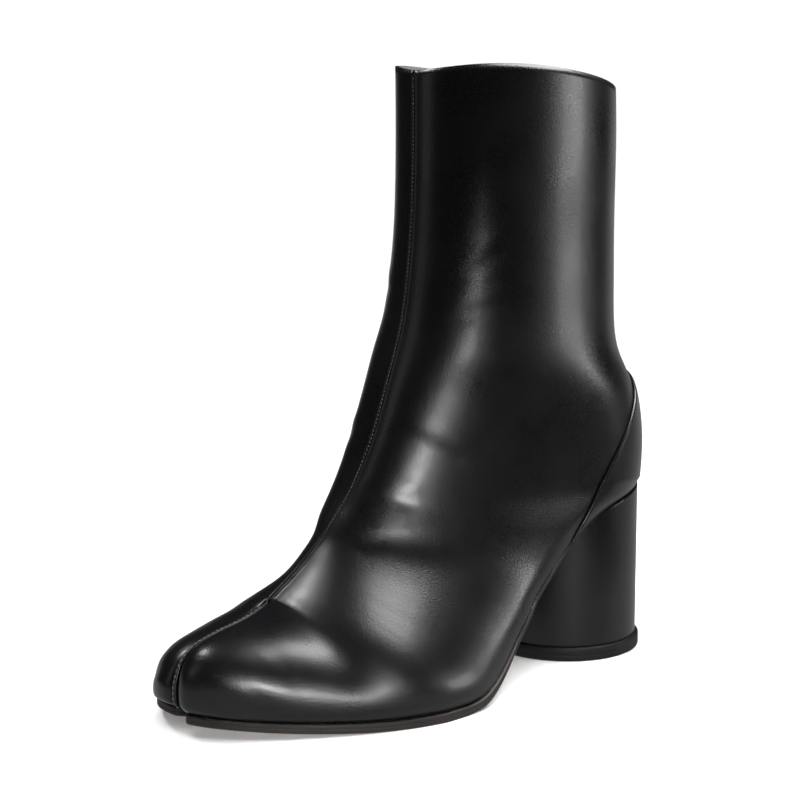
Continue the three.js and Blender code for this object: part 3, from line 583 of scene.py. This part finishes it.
class Finish:
    def __init__(self, name, **fixed):
        self.material = bpy.data.materials.new(name)
        self.material.use_nodes = True
        self.tree = self.material.node_tree
        self.shader = self.tree.nodes["Principled BSDF"]
        for socket, value in fixed.items():
            self.shader.inputs[socket.replace("_", " ")].default_value = value
        self.place = self.node("ShaderNodeTexCoord", {}, {}, "Object")

    # Any node: its settings first, then the values or links of its sockets.
    def node(self, kind, settings, values, output=0):
        made = self.tree.nodes.new(kind)
        for name, value in settings.items():
            setattr(made, name, value)
        for socket, value in values.items():
            if isinstance(value, Sum):
                self.tree.links.new(value.socket, made.inputs[socket])
            else:
                made.inputs[socket].default_value = value
        return Sum(self, made.outputs[output])

    def feed(self, socket, value):
        self.tree.links.new(value.socket, self.shader.inputs[socket])

    def noise(self, scale, detail, roughness, place=None):
        return self.node("ShaderNodeTexNoise", {}, {
            "Vector": place or self.place, "Scale": scale, "Detail": detail, "Roughness": roughness}, "Fac")

    def cells(self, scale):
        return self.node("ShaderNodeTexVoronoi", {}, {"Vector": self.place, "Scale": scale}, "Distance")

    def stretched(self, scale):
        return self.node("ShaderNodeMapping", {}, {"Vector": self.place, "Scale": scale}, "Vector")

    def between(self, value, low, high, start=0.0, end=1.0):
        return self.node("ShaderNodeMapRange", {"clamp": True}, {
            "Value": value, "From Min": low, "From Max": high, "To Min": start, "To Max": end}, "Result")

    def blend(self, factor, first, second):
        return self.node("ShaderNodeMix", {"data_type": "RGBA"}, {
            0: factor, 6: (*first, 1) if isinstance(first, tuple) else first,
            7: (*second, 1) if isinstance(second, tuple) else second}, 2)

    def bump(self, height, strength, distance, under=None):
        below = {} if under is None else {"Normal": under}
        return self.node("ShaderNodeBump", {}, {
            "Strength": strength, "Distance": distance, "Height": height, **below}, "Normal")


leatherLook = {
    "black": (.0014, .0014, .0017), "worn": (.003, .003, .0034), "roughness": (.25, .35),
    "grainScale": 1700, "grainBump": 1, "poreScale": 1250, "poreBump": .3,
    "waveScale": 42, "waveBump": .13,
}


# Smooth finished leather: tiny cells and specks for its grain, larger soft waves from the
# hide, and colour and gloss that drift a little over the surface.
def leatherFinish(name, **changes):
    look = {**leatherLook, **changes}
    low, high = look["roughness"]
    finish = Finish(name, IOR=1.5, Specular_IOR_Level=.42, Coat_Roughness=.16, Coat_IOR=1.5)
    drift = finish.noise(26, 3, .55)
    specks = finish.noise(look["grainScale"], 2, .7)
    cells = finish.cells(look["grainScale"] * 1.15)
    pores = finish.noise(look["poreScale"], 3, .65)
    waves = finish.noise(look["waveScale"], 2, .4)
    wear = finish.between(drift + specks * .4, .45, .95)
    finish.feed("Base Color", finish.blend(wear, look["black"], look["worn"]))
    finish.feed("Roughness", finish.between(drift, .3, .7, low, high) + (specks - .5) * .14)
    finish.feed("Coat Weight", finish.between(waves, .3, .7, .05, .16))
    fine = finish.bump(specks * .6 + cells * .5, look["grainBump"], .00006)
    medium = finish.bump(pores, look["poreBump"], .00012, fine)
    finish.feed("Normal", finish.bump(waves, look["waveBump"], .0006, medium))
    return finish.material


# A plain grained finish between two colours; depth is the bump's, in metres.
def plainFinish(name, dark, light, roughness, scale, strength, depth, **fixed):
    finish = Finish(name, **fixed)
    drift = finish.noise(scale * .08, 3, .55)
    grain = finish.noise(scale, 4, .6)
    finish.feed("Base Color", finish.blend(finish.between(drift + grain * .5, .45, 1.05), dark, light))
    finish.feed("Roughness", finish.between(grain, .3, .7, *roughness))
    finish.feed("Normal", finish.bump(grain, strength, depth))
    return finish.material


# The edge of the sole: waxed black with fine lines along it, and a red-brown line at its foot.
def edgeFinish():
    finish = Finish("soleEdge", IOR=1.5, Specular_IOR_Level=.3)
    height = finish.node("ShaderNodeAttribute", {"attribute_name": "edgeHeight"}, {}, "Fac")
    lines = finish.noise(900, 2, .6, finish.stretched((.12, .12, 3)))
    drift = finish.noise(60, 3, .6)
    wax = finish.blend(finish.between(drift + lines * .6, .5, 1.1), (.006, .0055, .0055), (.017, .014, .013))
    foot = finish.between(height, .02, .16, 1, 0)
    finish.feed("Base Color", finish.blend(foot * .8, wax, (.085, .032, .02)))
    finish.feed("Roughness", finish.between(lines + drift * .5, .5, 1.0, .42, .68))
    finish.feed("Normal", finish.bump(lines, .35, .00012))
    return finish.material


# The underside: dark leather with fibres along it.
def bottomFinish():
    finish = Finish("soleBottom", IOR=1.5)
    fibres = finish.noise(240, 5, .65, finish.stretched((1, .35, 1)))
    drift = finish.noise(35, 3, .5)
    shade = finish.between(fibres + drift, .7, 1.3)
    finish.feed("Base Color", finish.blend(shade, (.016, .013, .012), (.04, .032, .028)))
    finish.feed("Roughness", finish.between(fibres, .3, .7, .38, .62))
    finish.feed("Normal", finish.bump(fibres, .3, .0002))
    return finish.material


upperLeather = leatherFinish("upperLeather")
counterLeather = leatherFinish("counterLeather")
heelLeather = leatherFinish("heelLeather", roughness=(.26, .36), waveScale=30)
webLeather = leatherFinish("webLeather", roughness=(.36, .5))
liningLeather = plainFinish("liningLeather", (.045, .042, .04), (.075, .07, .066), (.5, .7), 900, .35, .00012)
sockLeather = plainFinish("sockLeather", (.03, .028, .027), (.055, .051, .048), (.45, .65), 800, .3, .00012)
waxedThread = plainFinish("waxedThread", (.05, .05, .052), (.12, .12, .125), (.3, .45), 3000, .4, .00005)
liftRubber = plainFinish("liftRubber", (.004, .0038, .0038), (.008, .0075, .0075), (.5, .7), 1400, .3,
                         .00008, Specular_IOR_Level=.25)
soleEdge, soleBottom = edgeFinish(), bottomFinish()
print("materials")


# The upper's two halves in one sheet with a wall under it; its inner face is the lining.
def buildUpper():
    v = fineRows()
    grids = [upperHalf(v, side) for side in sides]
    columns = grids[0].shape[1]
    points, faces = joinGrids(grids, (True, False))
    # past the crotch the lobes have no floor between them
    i, j = np.divmod(np.arange(len(faces[0])), columns - 1)
    kept = (j < columns - 2) | (v[i] < boot["crotchRow"] - 1e-9)
    piece = meshFrom("upperShell", points, np.concatenate([quads[kept] for quads in faces]), 4e-6)
    wall = addWall(piece, upperLook["wall"] / 1000)
    wall.material_offset = 1
    wall.use_quality_normals = True
    finishPiece(piece, ["upper"], "upper_leather", upperLeather, liningLeather)


buildUpper()

# In mm: how far the counter stands proud at its face and at its edge, the round between
# them, and its wall.
counterLook = {"rows": 90, "columns": 46, "proud": 1.25, "foot": .25, "round": 1.1, "wall": .6}


# Height of the counter's edge over its station: it falls from the back seam to the waist.
def counterEdgeZ(s):
    run = ramp(s, boot["heelSet"], boot["counterReach"])
    foot = featherZ(boot["heelSet"] + boot["counterReach"])
    return foot + (featherZ(boot["heelSet"]) + boot["counterTop"] - foot) * (1 - run ** 1.35) ** .9


def belowCounter(v, side, share):
    row = sectionsAt(v)
    x, q, *_ = sectionCurve(row, side, share)
    s = row["s"] + q * np.cos(row["tilt"])
    z = row["z"] + q * np.sin(row["tilt"])
    return (s < boot["heelSet"] + boot["counterReach"]) & (z < counterEdgeZ(s))


# The largest parameter for which a test still holds, by halving, for whole arrays.
def lastWhere(test, low, high):
    for _ in range(34):
        middle = (low + high) / 2
        holds = test(middle)
        low, high = np.where(holds, middle, low), np.where(holds, high, middle)
    return low


# The counter follows the upper's own surface from the back seam or the sole to its edge,
# lifted by a height that rolls down to the upper over the last millimetre.
def buildCounter():
    look = counterLook
    heel, start = boot["heelRow"], np.array([0.0])
    grids = []
    for side in sides:
        top = lastWhere(lambda v: ~belowCounter(v, side, start[:, None])[:, 0], start, start + heel)[0]
        end = lastWhere(lambda v: belowCounter(v, side, start[:, None])[:, 0],
                        start + heel, start + boot["kinkRow"])[0]
        t = np.linspace(0, 1, look["rows"])
        upright = t[:look["rows"] // 2]
        v = np.concatenate([top + (heel - top) * upright / upright[-1], (heel + (end - heel) * t ** 1.6)[1:]])
        row = sectionsAt(v)
        low, high = np.zeros((len(v), 1)), np.full((len(v), 1), .95)
        edge = lastWhere(lambda share: belowCounter(v, side, share), low, high)
        share = edge * (1 - (1 - np.linspace(0, 1, look["columns"])[None, :]) ** 1.7)
        x, q, *_ = sectionCurve(row, side, share)
        points = onSection(row, x, q, archAt(row["v"], side, share))
        normal = gridNormals(points, sign[side])
        normal[0], normal[-1] = normal[1], normal[-2]
        normal[:, 0] = np.where(v[:, None] < heel, [0, 1, 0], normal[:, 1])
        ends = points[:, -1:], points[:1, :1], points[-1:, :1]
        d = np.min([np.linalg.norm(points - end, axis=-1) for end in ends], axis=0) * 1000
        rolled = np.sqrt(1 - np.clip(1 - d / look["round"], 0, 1) ** 2)
        lift = look["foot"] + (look["proud"] - look["foot"]) * rolled
        grids.append(points + normal * lift[..., None] / 1000)
    points, faces = joinGrids(grids, (True, False))
    piece = meshFrom("heelCounter", points, np.concatenate(faces), 2e-5)
    addWall(piece, look["wall"] / 1000)
    finishPiece(piece, ["counter"], "counter_leather", counterLeather)


buildCounter()


# Where the cleft begins in plan, further on for a piece that keeps a notch clear of it.
def crotchS(notch):
    return springRead(rowNumbers, sections["s"], np.array([float(boot["crotchRow"])]))[0] + 1.5 * notch


# Points across a plan of the sole at stations s: from the middle line, or the cleft's
# wall, to the outer edge; past the crotch the wall rounds off to the nose.
def planGrid(side, stations, columns, grow, notch):
    out = sign[side]
    back, tip = stations[0], stations[-1]
    half = edgeHalf(side, stations, grow)
    middle = boot["cleftX"] * (np.clip(stations - back, 0, None) / (crotchS(notch) - back)) ** 1.5
    bend = ramp(stations - tip, -boot["noseRound"], boot["noseRound"])
    wall = boot["cleftX"] + out * (boot["cleftGap"] / 2 - notch)
    wall = noseX(side) + (wall - noseX(side)) * np.sqrt(1 - bend ** 2)
    inner = np.where(stations < crotchS(notch), middle, wall)
    return inner[:, None] + (out * half - inner)[:, None] * np.linspace(0, 1, columns)[None, :]


# Stations that crowd at the heel and the nose, and how many come before the crotch.
def soleStations(side, grow, notch):
    back = boot["heelSet"] - grow(np.array([float(boot["heelSet"])]))[0]
    tip = upperTip(side) + grow(np.array([upperTip(side)]))[0]
    heel = back + 26 * (1 - np.cos(np.pi / 2 * np.linspace(0, 1, 22)))
    crotch = crotchS(notch)
    run = np.linspace(heel[-1], crotch, 70)[1:]
    nose = crotch + .02 + (tip - crotch - .02) * np.sin(np.pi / 2 * np.linspace(0, 1, 46))
    return np.concatenate([heel, run, nose]), len(heel) + len(run)


# A slab in plan: top and bottom follow heights over s, and its edge is carried round the
# whole outline as a profile of (outward offset mm, height share) points.
def planSlab(name, grow, notch, bottomZ, topZ, profile, columns=14):
    plans = {}
    for side in sides:
        stations, count = soleStations(side, grow, notch)
        plans[side] = stations, planGrid(side, stations, columns, grow(stations), notch), count
    latS, latGrid, latCount = plans["lat"]
    medS, medGrid, medCount = plans["med"]
    x = np.concatenate([latGrid[:, -1], latGrid[latCount:-1, 0][::-1], medGrid[medCount:, 0],
                        medGrid[1:-1, -1][::-1]])
    s = np.concatenate([latS, latS[latCount:-1][::-1], medS[medCount:], medS[1:-1][::-1]])
    dx, ds = np.roll(x, -1) - np.roll(x, 1), np.roll(s, -1) - np.roll(s, 1)
    nx, ns = ds / np.hypot(dx, ds), -dx / np.hypot(dx, ds)
    if ((x - x.mean()) * nx + (s - s.mean()) * ns).sum() < 0:
        nx, ns = -nx, -ns
    rings = np.stack([toMetres(x + nx * offset, s + ns * offset, bottomZ(s) + (topZ(s) - bottomZ(s)) * height)
                      for offset, height in profile])
    grids = [np.concatenate([rings, rings[:, :1]], 1)]
    cuts = np.cumsum([len(latS), len(latS) - 1 - latCount, len(medS) - medCount])
    u = np.linspace(0, 1, columns)[:, None]
    for offset, heightAt in ((profile[0][0], topZ), (profile[-1][0], bottomZ)):
        loop = np.stack([x + nx * offset, s + ns * offset], -1)
        outerLat, innerLat, innerMed, outerMed = np.split(loop, cuts)
        for side, (stations, grid, count) in plans.items():
            inner, outer = np.stack([grid[:, 0], stations], -1), np.stack([grid[:, -1], stations], -1)
            if side == "lat":
                outer, inner[count:-1] = outerLat, innerLat[::-1]
                inner[-1], inner[0] = outer[-1], outer[0]
            else:
                outer[1:-1], inner[count:] = outerMed[::-1], innerMed
                outer[-1], inner[0], outer[0] = inner[-1], loop[0], loop[0]
            across = inner[:, None] * (1 - u) + outer[:, None] * u
            grids.append(toMetres(across[..., 0], across[..., 1], heightAt(stations)[:, None]))
    points, faces = joinGrids(grids, [False] * len(grids))
    piece = meshFrom(name, points, np.concatenate(faces), 1e-5)
    recalculate(piece)
    return piece


soleLook = {
    "profile": [(-1.6, 1), (-.35, 1), (-.08, .955), (0, .86), (.02, .62), (-.02, .56), (-.14, .52),
                (-.02, .48), (.02, .42), (.02, .16), (-.06, .06), (-.3, 0), (-1.2, 0)],
    "downward": -.75,
}


# How far the sole stands out past the upper: a ledge that dies out towards the seat.
def ledgeAt(s):
    share = along(outlineRows, "ledge", s)
    return boot["soleLedge"] * share - boot["seatInset"] * np.clip(1 - share / .3, 0, None)


# The sole keeps each point's share of its height as edgeHeight, which its finish reads.
def buildSole():
    piece = planSlab("outsoleSlab", ledgeAt, boot["clearance"], undersideZ, soleTopZ, soleLook["profile"])
    mesh = piece.data
    place = np.empty(len(mesh.vertices) * 3)
    mesh.vertices.foreach_get("co", place)
    place = place.reshape(-1, 3) * 1000
    low, high = undersideZ(offsetY - place[:, 1]), soleTopZ(offsetY - place[:, 1])
    share = np.clip((place[:, 2] - low) / np.maximum(high - low, .2), 0, 1).astype(np.float32)
    mesh.attributes.new("edgeHeight", "FLOAT", "POINT").data.foreach_set("value", share)
    normals = np.empty(len(mesh.polygons) * 3)
    mesh.polygons.foreach_get("normal", normals)
    finishPiece(piece, ["outsole"], "sole_leather", soleEdge, soleBottom)
    downward = normals.reshape(-1, 3)[:, 2] < soleLook["downward"]
    mesh.polygons.foreach_set("material_index", downward.astype(int))


sockLook = {
    "gap": .35, "rise": 2,
    "profile": [(-1.4, 1), (-.5, 1.0), (-.12, .9), (0, .6), (0, .2), (-.3, 0), (-1.5, 0)],
}


# The sock: a thin pad inside the wall that lies on the sole.
def buildSock():
    inset = -(boot["wall"] + sockLook["gap"])
    piece = planSlab("insoleSock", lambda s: np.full(np.shape(s), inset), inset, featherZ,
                     lambda s: featherZ(s) + sockLook["rise"], sockLook["profile"])
    finishPiece(piece, ["insole"], "insole_leather", sockLeather)


buildSole()
buildSock()

# In mm, apart from the counts and the seam's angle in degrees from the front of the heel.
heelLook = {
    "sides": 360, "rings": 70, "capRings": 12, "seamAngle": 18.7, "seamDepth": .38, "seamWidth": .32,
    "breastStep": .12, "lipRound": .7, "footRound": .5, "footRoll": .35, "footGap": .12, "topGap": .22,
}


# A column of radius r: angle round it and height up it. Its top follows the sole, rolls in
# over the last millimetre, and the cover's two breast seams are narrow grooves.
def buildHeel():
    look, middle = heelLook, boot["liftRadius"]
    angle = np.linspace(0, 2 * np.pi, look["sides"] + 1)[None, :]
    t = .5 - .5 * np.cos(np.pi * np.linspace(0, 1, look["rings"])[:, None])
    foot = boot["liftHeight"] + look["footGap"]
    spread = np.degrees(np.abs((angle + np.pi) % (2 * np.pi) - np.pi))
    arc = (spread - look["seamAngle"]) * np.pi / 180 * boot["heelRadius"]
    r = boot["heelRadius"] - look["seamDepth"] * bump(arc, look["seamWidth"])
    r = r - look["breastStep"] * (spread < look["seamAngle"])
    top = undersideZ(middle + r * np.cos(angle)) - look["topGap"]
    z = foot + (top - foot) * t
    rolled = np.clip(1 - (top - z) / look["lipRound"], 0, 1)
    rolledFoot = np.clip(1 - (z - foot) / look["footRound"], 0, 1)
    r = r - look["lipRound"] * (1 - np.sqrt(1 - rolled ** 2))
    r = r - look["footRoll"] * (1 - np.sqrt(1 - rolledFoot ** 2))
    shrink = np.linspace(1, 0, look["capRings"])[1:, None]
    footR, topR = r[:1] * shrink[::-1], r[-1:] * shrink
    topZ = undersideZ(middle + topR * np.cos(angle)) - look["topGap"]
    r, z = np.concatenate([footR, r, topR]), np.concatenate([np.full_like(footR, foot), z, topZ])
    grid = toMetres(r * np.sin(angle), middle + r * np.cos(angle), z)
    piece = meshFrom("heelColumn", grid, gridFaces(*grid.shape[:2]), 3e-6)
    recalculate(piece)
    finishPiece(piece, ["heel_block"], "heel_leather", heelLeather)


# The profile's points are (radius, height); the bevel is in metres and degrees.
liftLook = {
    "profile": [(0, 0), (20, 0), (29.6, 0), (30.35, .08), (30.75, .35), (31, .9), (31, 2.4), (30.93, 2.55),
                (31, 2.7), (31, 4.9), (30.8, 5.35), (30.4, 5.6), (20, 5.6), (0, 5.6)],
    "sides": 180, "bevel": .00012, "bevelAngle": 50,
}


# The rubber lift: the profile turned about the heel's axis.
def buildLift():
    angle = np.linspace(0, 2 * np.pi, liftLook["sides"] + 1)[None, :]
    profile = np.array(liftLook["profile"])
    r, z = profile[:, :1], profile[:, 1:]
    grid = toMetres(r * np.sin(angle), boot["liftRadius"] + r * np.cos(angle), z + 0 * angle)
    piece = meshFrom("liftDisc", grid, gridFaces(*grid.shape[:2]), 3e-6)
    recalculate(piece)
    edges = piece.modifiers.new("edges", "BEVEL")
    edges.width, edges.segments = liftLook["bevel"], 2
    edges.limit_method, edges.angle_limit = "ANGLE", math.radians(liftLook["bevelAngle"])
    finishPiece(piece, ["top_lift"], "lift_rubber", liftRubber)


buildHeel()
buildLift()

# In mm: the web's edge under the lips, the share of the lower lobe that it takes, its half
# width, and its stitches. The profile is (share of the half width, height over the edge).
webLook = {
    "sink": .5, "lower": .35, "half": .95, "steps": 150,
    "profile": [(.8, -6), (1, -2.2), (1, -1.1), (.95, -.45), (.72, -.08), (.42, .02), (.15, -.22)],
    "dip": -.3, "firstStitch": 8, "pitch": 2.1, "length": 1.55, "radius": .3, "sunk": .12,
}
seamLook = {"pitch": 1.55, "length": .85, "radius": .2, "proud": .06, "sunk": 0, "steps": 500}


# The line along which the web's stitched edge runs, from behind the kink to the sole.
def webLine():
    v = np.linspace(boot["kinkRow"] + .35, lastRow - .5, webLook["steps"])
    row = sectionsAt(v)
    tilt, second = row["tilt"][:, 0], row["second"][:, 0]
    depth = row["depth"][:, 0] * (1 - webLook["lower"] * (1 - second))
    q = depth - webLook["sink"] * np.clip((v - boot["kinkRow"]) / 2, .3, 1)
    return row["s"][:, 0] + q * np.cos(tilt), row["z"][:, 0] + q * np.sin(tilt)


# The web: an upright strip whose edge is rounded over, carried along the web's line. Two
# bulges beside the middle are the turned edges, with the stitches lying between them.
def buildWeb():
    s, z = webLine()
    ds, dz = np.gradient(s), np.gradient(z)
    ns, nz = -dz / np.hypot(ds, dz), ds / np.hypot(ds, dz)
    left = np.array(webLook["profile"]) * (-webLook["half"], 1)
    profile = np.concatenate([left, [(0, webLook["dip"])], left[::-1] * (-1, 1)])
    across, rise = profile[None, :, 0], profile[None, :, 1]
    fade = np.clip(np.arange(len(s)) / 14, 0, 1)[:, None] ** .5
    across = across * (.45 + .55 * fade)
    rise = np.where(rise < -3, rise * np.minimum(fade + .25, 1), rise)
    grid = toMetres(boot["cleftX"] + across, s[:, None] + ns[:, None] * rise, z[:, None] + nz[:, None] * rise)
    piece = meshFrom("toeWebStrip", grid, gridFaces(*grid.shape[:2]), 2e-6)
    recalculate(piece, True)
    finishPiece(piece, ["toe_web"], "web_leather", webLeather)


# Places at an even pitch along a line of points, with the line's unit direction there.
def evenAlong(points, pitch):
    steps = np.linalg.norm(np.diff(points, axis=0), axis=1)
    run = np.concatenate([[0], np.cumsum(steps)])
    middle = np.arange(pitch / 2, run[-1], pitch)
    after, before = np.minimum(middle + pitch * .2, run[-1]), np.maximum(middle - pitch * .2, 0)
    place, ahead, behind = (np.stack([np.interp(at, run, points[:, k]) for k in range(3)], 1)
                            for at in (middle, after, before))
    direction = ahead - behind
    return place, direction / np.linalg.norm(direction, axis=1, keepdims=True)


# A row of stitches: one small pointed bead for each, radius times sqrt(1 - t squared) along
# its length, laid at an even pitch. Up is square to the line, away from the leg.
def buildStitches(name, points, look, slot, beadSides=8, beadRings=7):
    place, direction = evenAlong(points, look["pitch"] / 1000)
    up = np.cross(direction, np.tile([1.0, 0, 0], (len(place), 1)))
    up = np.where(up[:, 1:2] < 0, up, -up)
    place = place - up * look["sunk"] / 1000
    side = np.cross(direction, up)
    side /= np.linalg.norm(side, axis=1, keepdims=True)
    up = np.cross(side, direction)
    t = np.linspace(-1, 1, beadRings)[:, None]
    bead = np.sqrt(1 - t ** 2)
    angle = np.linspace(0, 2 * np.pi, beadSides, endpoint=False)
    ring = np.stack(np.broadcast_arrays(t, bead * np.cos(angle), bead * np.sin(angle)), -1)
    radius = look["radius"] / 1000
    basis = np.stack([direction * (look["length"] / 1000) / 2, side * radius, up * radius], 1)
    points = place[:, None, None, :] + np.einsum("rak,nkc->nrac", ring, basis)
    i, j = np.meshgrid(np.arange(beadRings - 1), np.arange(beadSides), indexing="ij")
    a, b = (i * beadSides + j).ravel(), (i * beadSides + (j + 1) % beadSides).ravel()
    quads = np.stack([a, b, b + beadSides, a + beadSides], 1)
    faces = (quads[None] + (np.arange(len(place)) * beadRings * beadSides)[:, None, None]).reshape(-1, 4)
    piece = meshFrom(name, points, faces, 1e-7)
    recalculate(piece)
    finishPiece(piece, [], slot, waxedThread)


# The front seam's line: in the groove between its two turned edges.
def seamLine():
    row = sectionsAt(np.linspace(.12, boot["kinkRow"] - .15, seamLook["steps"]))
    q = row["depth"] - upperLook["grooveDepth"] * seamStrength(row["v"]) + seamLook["proud"]
    return onSection(row, row["seam"], q)[:, 0]


buildWeb()
buildStitches("webStitches", toMetres(boot["cleftX"], *webLine())[webLook["firstStitch"]:], webLook, "web_leather")
buildStitches("seamStitches", seamLine(), seamLook, "upper_leather")

# The camera's place in mm from the middle of the lift, its angles and its focal length.
cameraLook = {"place": (662.6, -698.8, 280.9), "azimuth": 47.5, "pitch": 10.58, "focal": 108}
# Corners of the sheets in metres, across and ahead of the camera's direction.
stageLook = {
    "floor": [(-30, -30), (30, -30), (30, 30), (-30, 30)],
    "board": [(-.24, -.19), (.19, -.19), (.2, .03), (.36, .1), (.5, .3), (27, 30), (-12, 30), (-.3, .4)],
    "tone": .8, "glow": .16, "boardTone": .3, "boardGlow": .42, "boardDrop": .0004,
    "wallSides": 48, "wallRadius": 8, "wallHeight": 12,
}
# Each light: the point in millimetres (x, s, z) that it shines on, the direction towards it,
# its distance and size in metres, its power and, for one with a grid, how wide its beam is.
lightLook = {
    "vamp": {"on": (20, 112, 58), "toward": (.24, .34, .91), "distance": .4, "size": (.22, .22), "power": 2.4},
    "low": {"on": (20, 160, 32), "toward": (.88, -.4, .19), "distance": .5, "size": (.2, .1), "power": .09,
            "spread": 30},
    "left": {"on": (0, 162, 40), "toward": (-.45, -.26, .86), "distance": .9, "size": (.13, .13), "power": 2.6},
    "shaft": {"on": (10, 60, 210), "toward": (-.3, -.95, .1), "distance": .6, "size": (.16, .3), "power": .1},
    "side": {"on": (30, 60, 110), "toward": (.69, .72, .03), "distance": 1.2, "size": (.34, .22), "power": 2.7},
}
skyLook = {"sun": 3.6, "sunAngle": 70, "sky": (.9, .95, 1, 1), "skyStrength": .03}


def stageSheet(name, corners, faces, tone, glow):
    sheet = newObject(name, rawMesh(name, corners, faces))
    paper = Finish(name, Roughness=.95, Emission_Color=(1, 1, 1, 1), Emission_Strength=glow)
    paper.feed("Base Color", paper.blend(paper.noise(3, 2, .5), (tone,) * 3, (tone * 1.01,) * 3))
    sheet.data.materials.append(paper.material)
    return sheet


# The floor is white paper, and only the camera and the boot's own colours see it. A greyer
# board just under it stands in for it in the gloss of the leather. A ring of white wall far
# off, radius times (cos, sin) of an even angle, keeps the background pale from every side.
def buildStage():
    look = stageLook
    turn = math.radians(cameraLook["azimuth"])
    axes = np.array([[math.cos(turn), math.sin(turn), 0], [-math.sin(turn), math.cos(turn), 0]])
    floor, board = (np.array(look[name]) @ axes for name in ("floor", "board"))
    board[:, 2] = -look["boardDrop"]
    floor = stageSheet("paleFloor", floor, [np.arange(len(floor))], look["tone"], look["glow"])
    board = stageSheet("greyBoard", board, [np.arange(len(board))], look["boardTone"], look["boardGlow"])
    angle = np.linspace(0, 2 * np.pi, look["wallSides"], endpoint=False)
    ring = np.stack([np.cos(angle), np.sin(angle), 0 * angle], -1) * look["wallRadius"]
    here = np.arange(look["wallSides"])
    after = (here + 1) % look["wallSides"]
    faces = np.stack([after, here, here + look["wallSides"], after + look["wallSides"]], -1)
    ring = np.concatenate([ring, ring + (0, 0, look["wallHeight"])])
    wall = stageSheet("paleWall", ring, faces, look["tone"], 1)
    floor.visible_glossy = board.visible_camera = wall.visible_glossy = False
    board.visible_diffuse = board.visible_shadow = wall.visible_diffuse = wall.visible_shadow = False


def softBox(name, on, toward, distance, size, power, spread=180):
    light = bpy.data.lights.new(name, "AREA")
    light.shape, light.size, light.size_y, light.energy = "RECTANGLE", size[0], size[1], power
    light.spread = math.radians(spread)
    holder = newObject(name, light)
    aim = Vector((on[0] + offsetX, offsetY - on[1], on[2])) / 1000
    holder.location = aim + Vector(toward).normalized() * distance
    holder.rotation_euler = Vector(toward).to_track_quat("Z", "Y").to_euler()
    holder.visible_camera = False


# The sun stands overhead and lights the whole floor evenly; the sky is nearly dark.
def buildSky():
    sun = bpy.data.lights.new("sun", "SUN")
    sun.energy, sun.angle = skyLook["sun"], math.radians(skyLook["sunAngle"])
    newObject("sun", sun).visible_glossy = False
    world = bpy.data.worlds.new("studio")
    world.use_nodes = True
    background = world.node_tree.nodes["Background"].inputs
    background["Color"].default_value = skyLook["sky"]
    background["Strength"].default_value = skyLook["skyStrength"]
    bpy.context.scene.world = world
    bpy.context.scene.view_settings.view_transform = "Standard"


def buildCamera():
    camera = bpy.data.cameras.new("camera")
    camera.sensor_width, camera.lens, camera.clip_end = 36, cameraLook["focal"], 100
    holder = newObject("camera", camera)
    x, y, z = cameraLook["place"]
    holder.location = ((x + offsetX) / 1000, (y + offsetY - boot["liftRadius"]) / 1000, z / 1000)
    turn, pitch = math.radians(cameraLook["azimuth"]), math.radians(cameraLook["pitch"])
    look = Vector((-math.sin(turn) * math.cos(pitch), math.cos(turn) * math.cos(pitch), -math.sin(pitch)))
    holder.rotation_euler = look.to_track_quat("-Z", "Y").to_euler()
    bpy.context.scene.camera = holder


buildStage()
buildCamera()
for name, light in lightLook.items():
    softBox(name, **light)
buildSky()
print("stage, lights and camera")
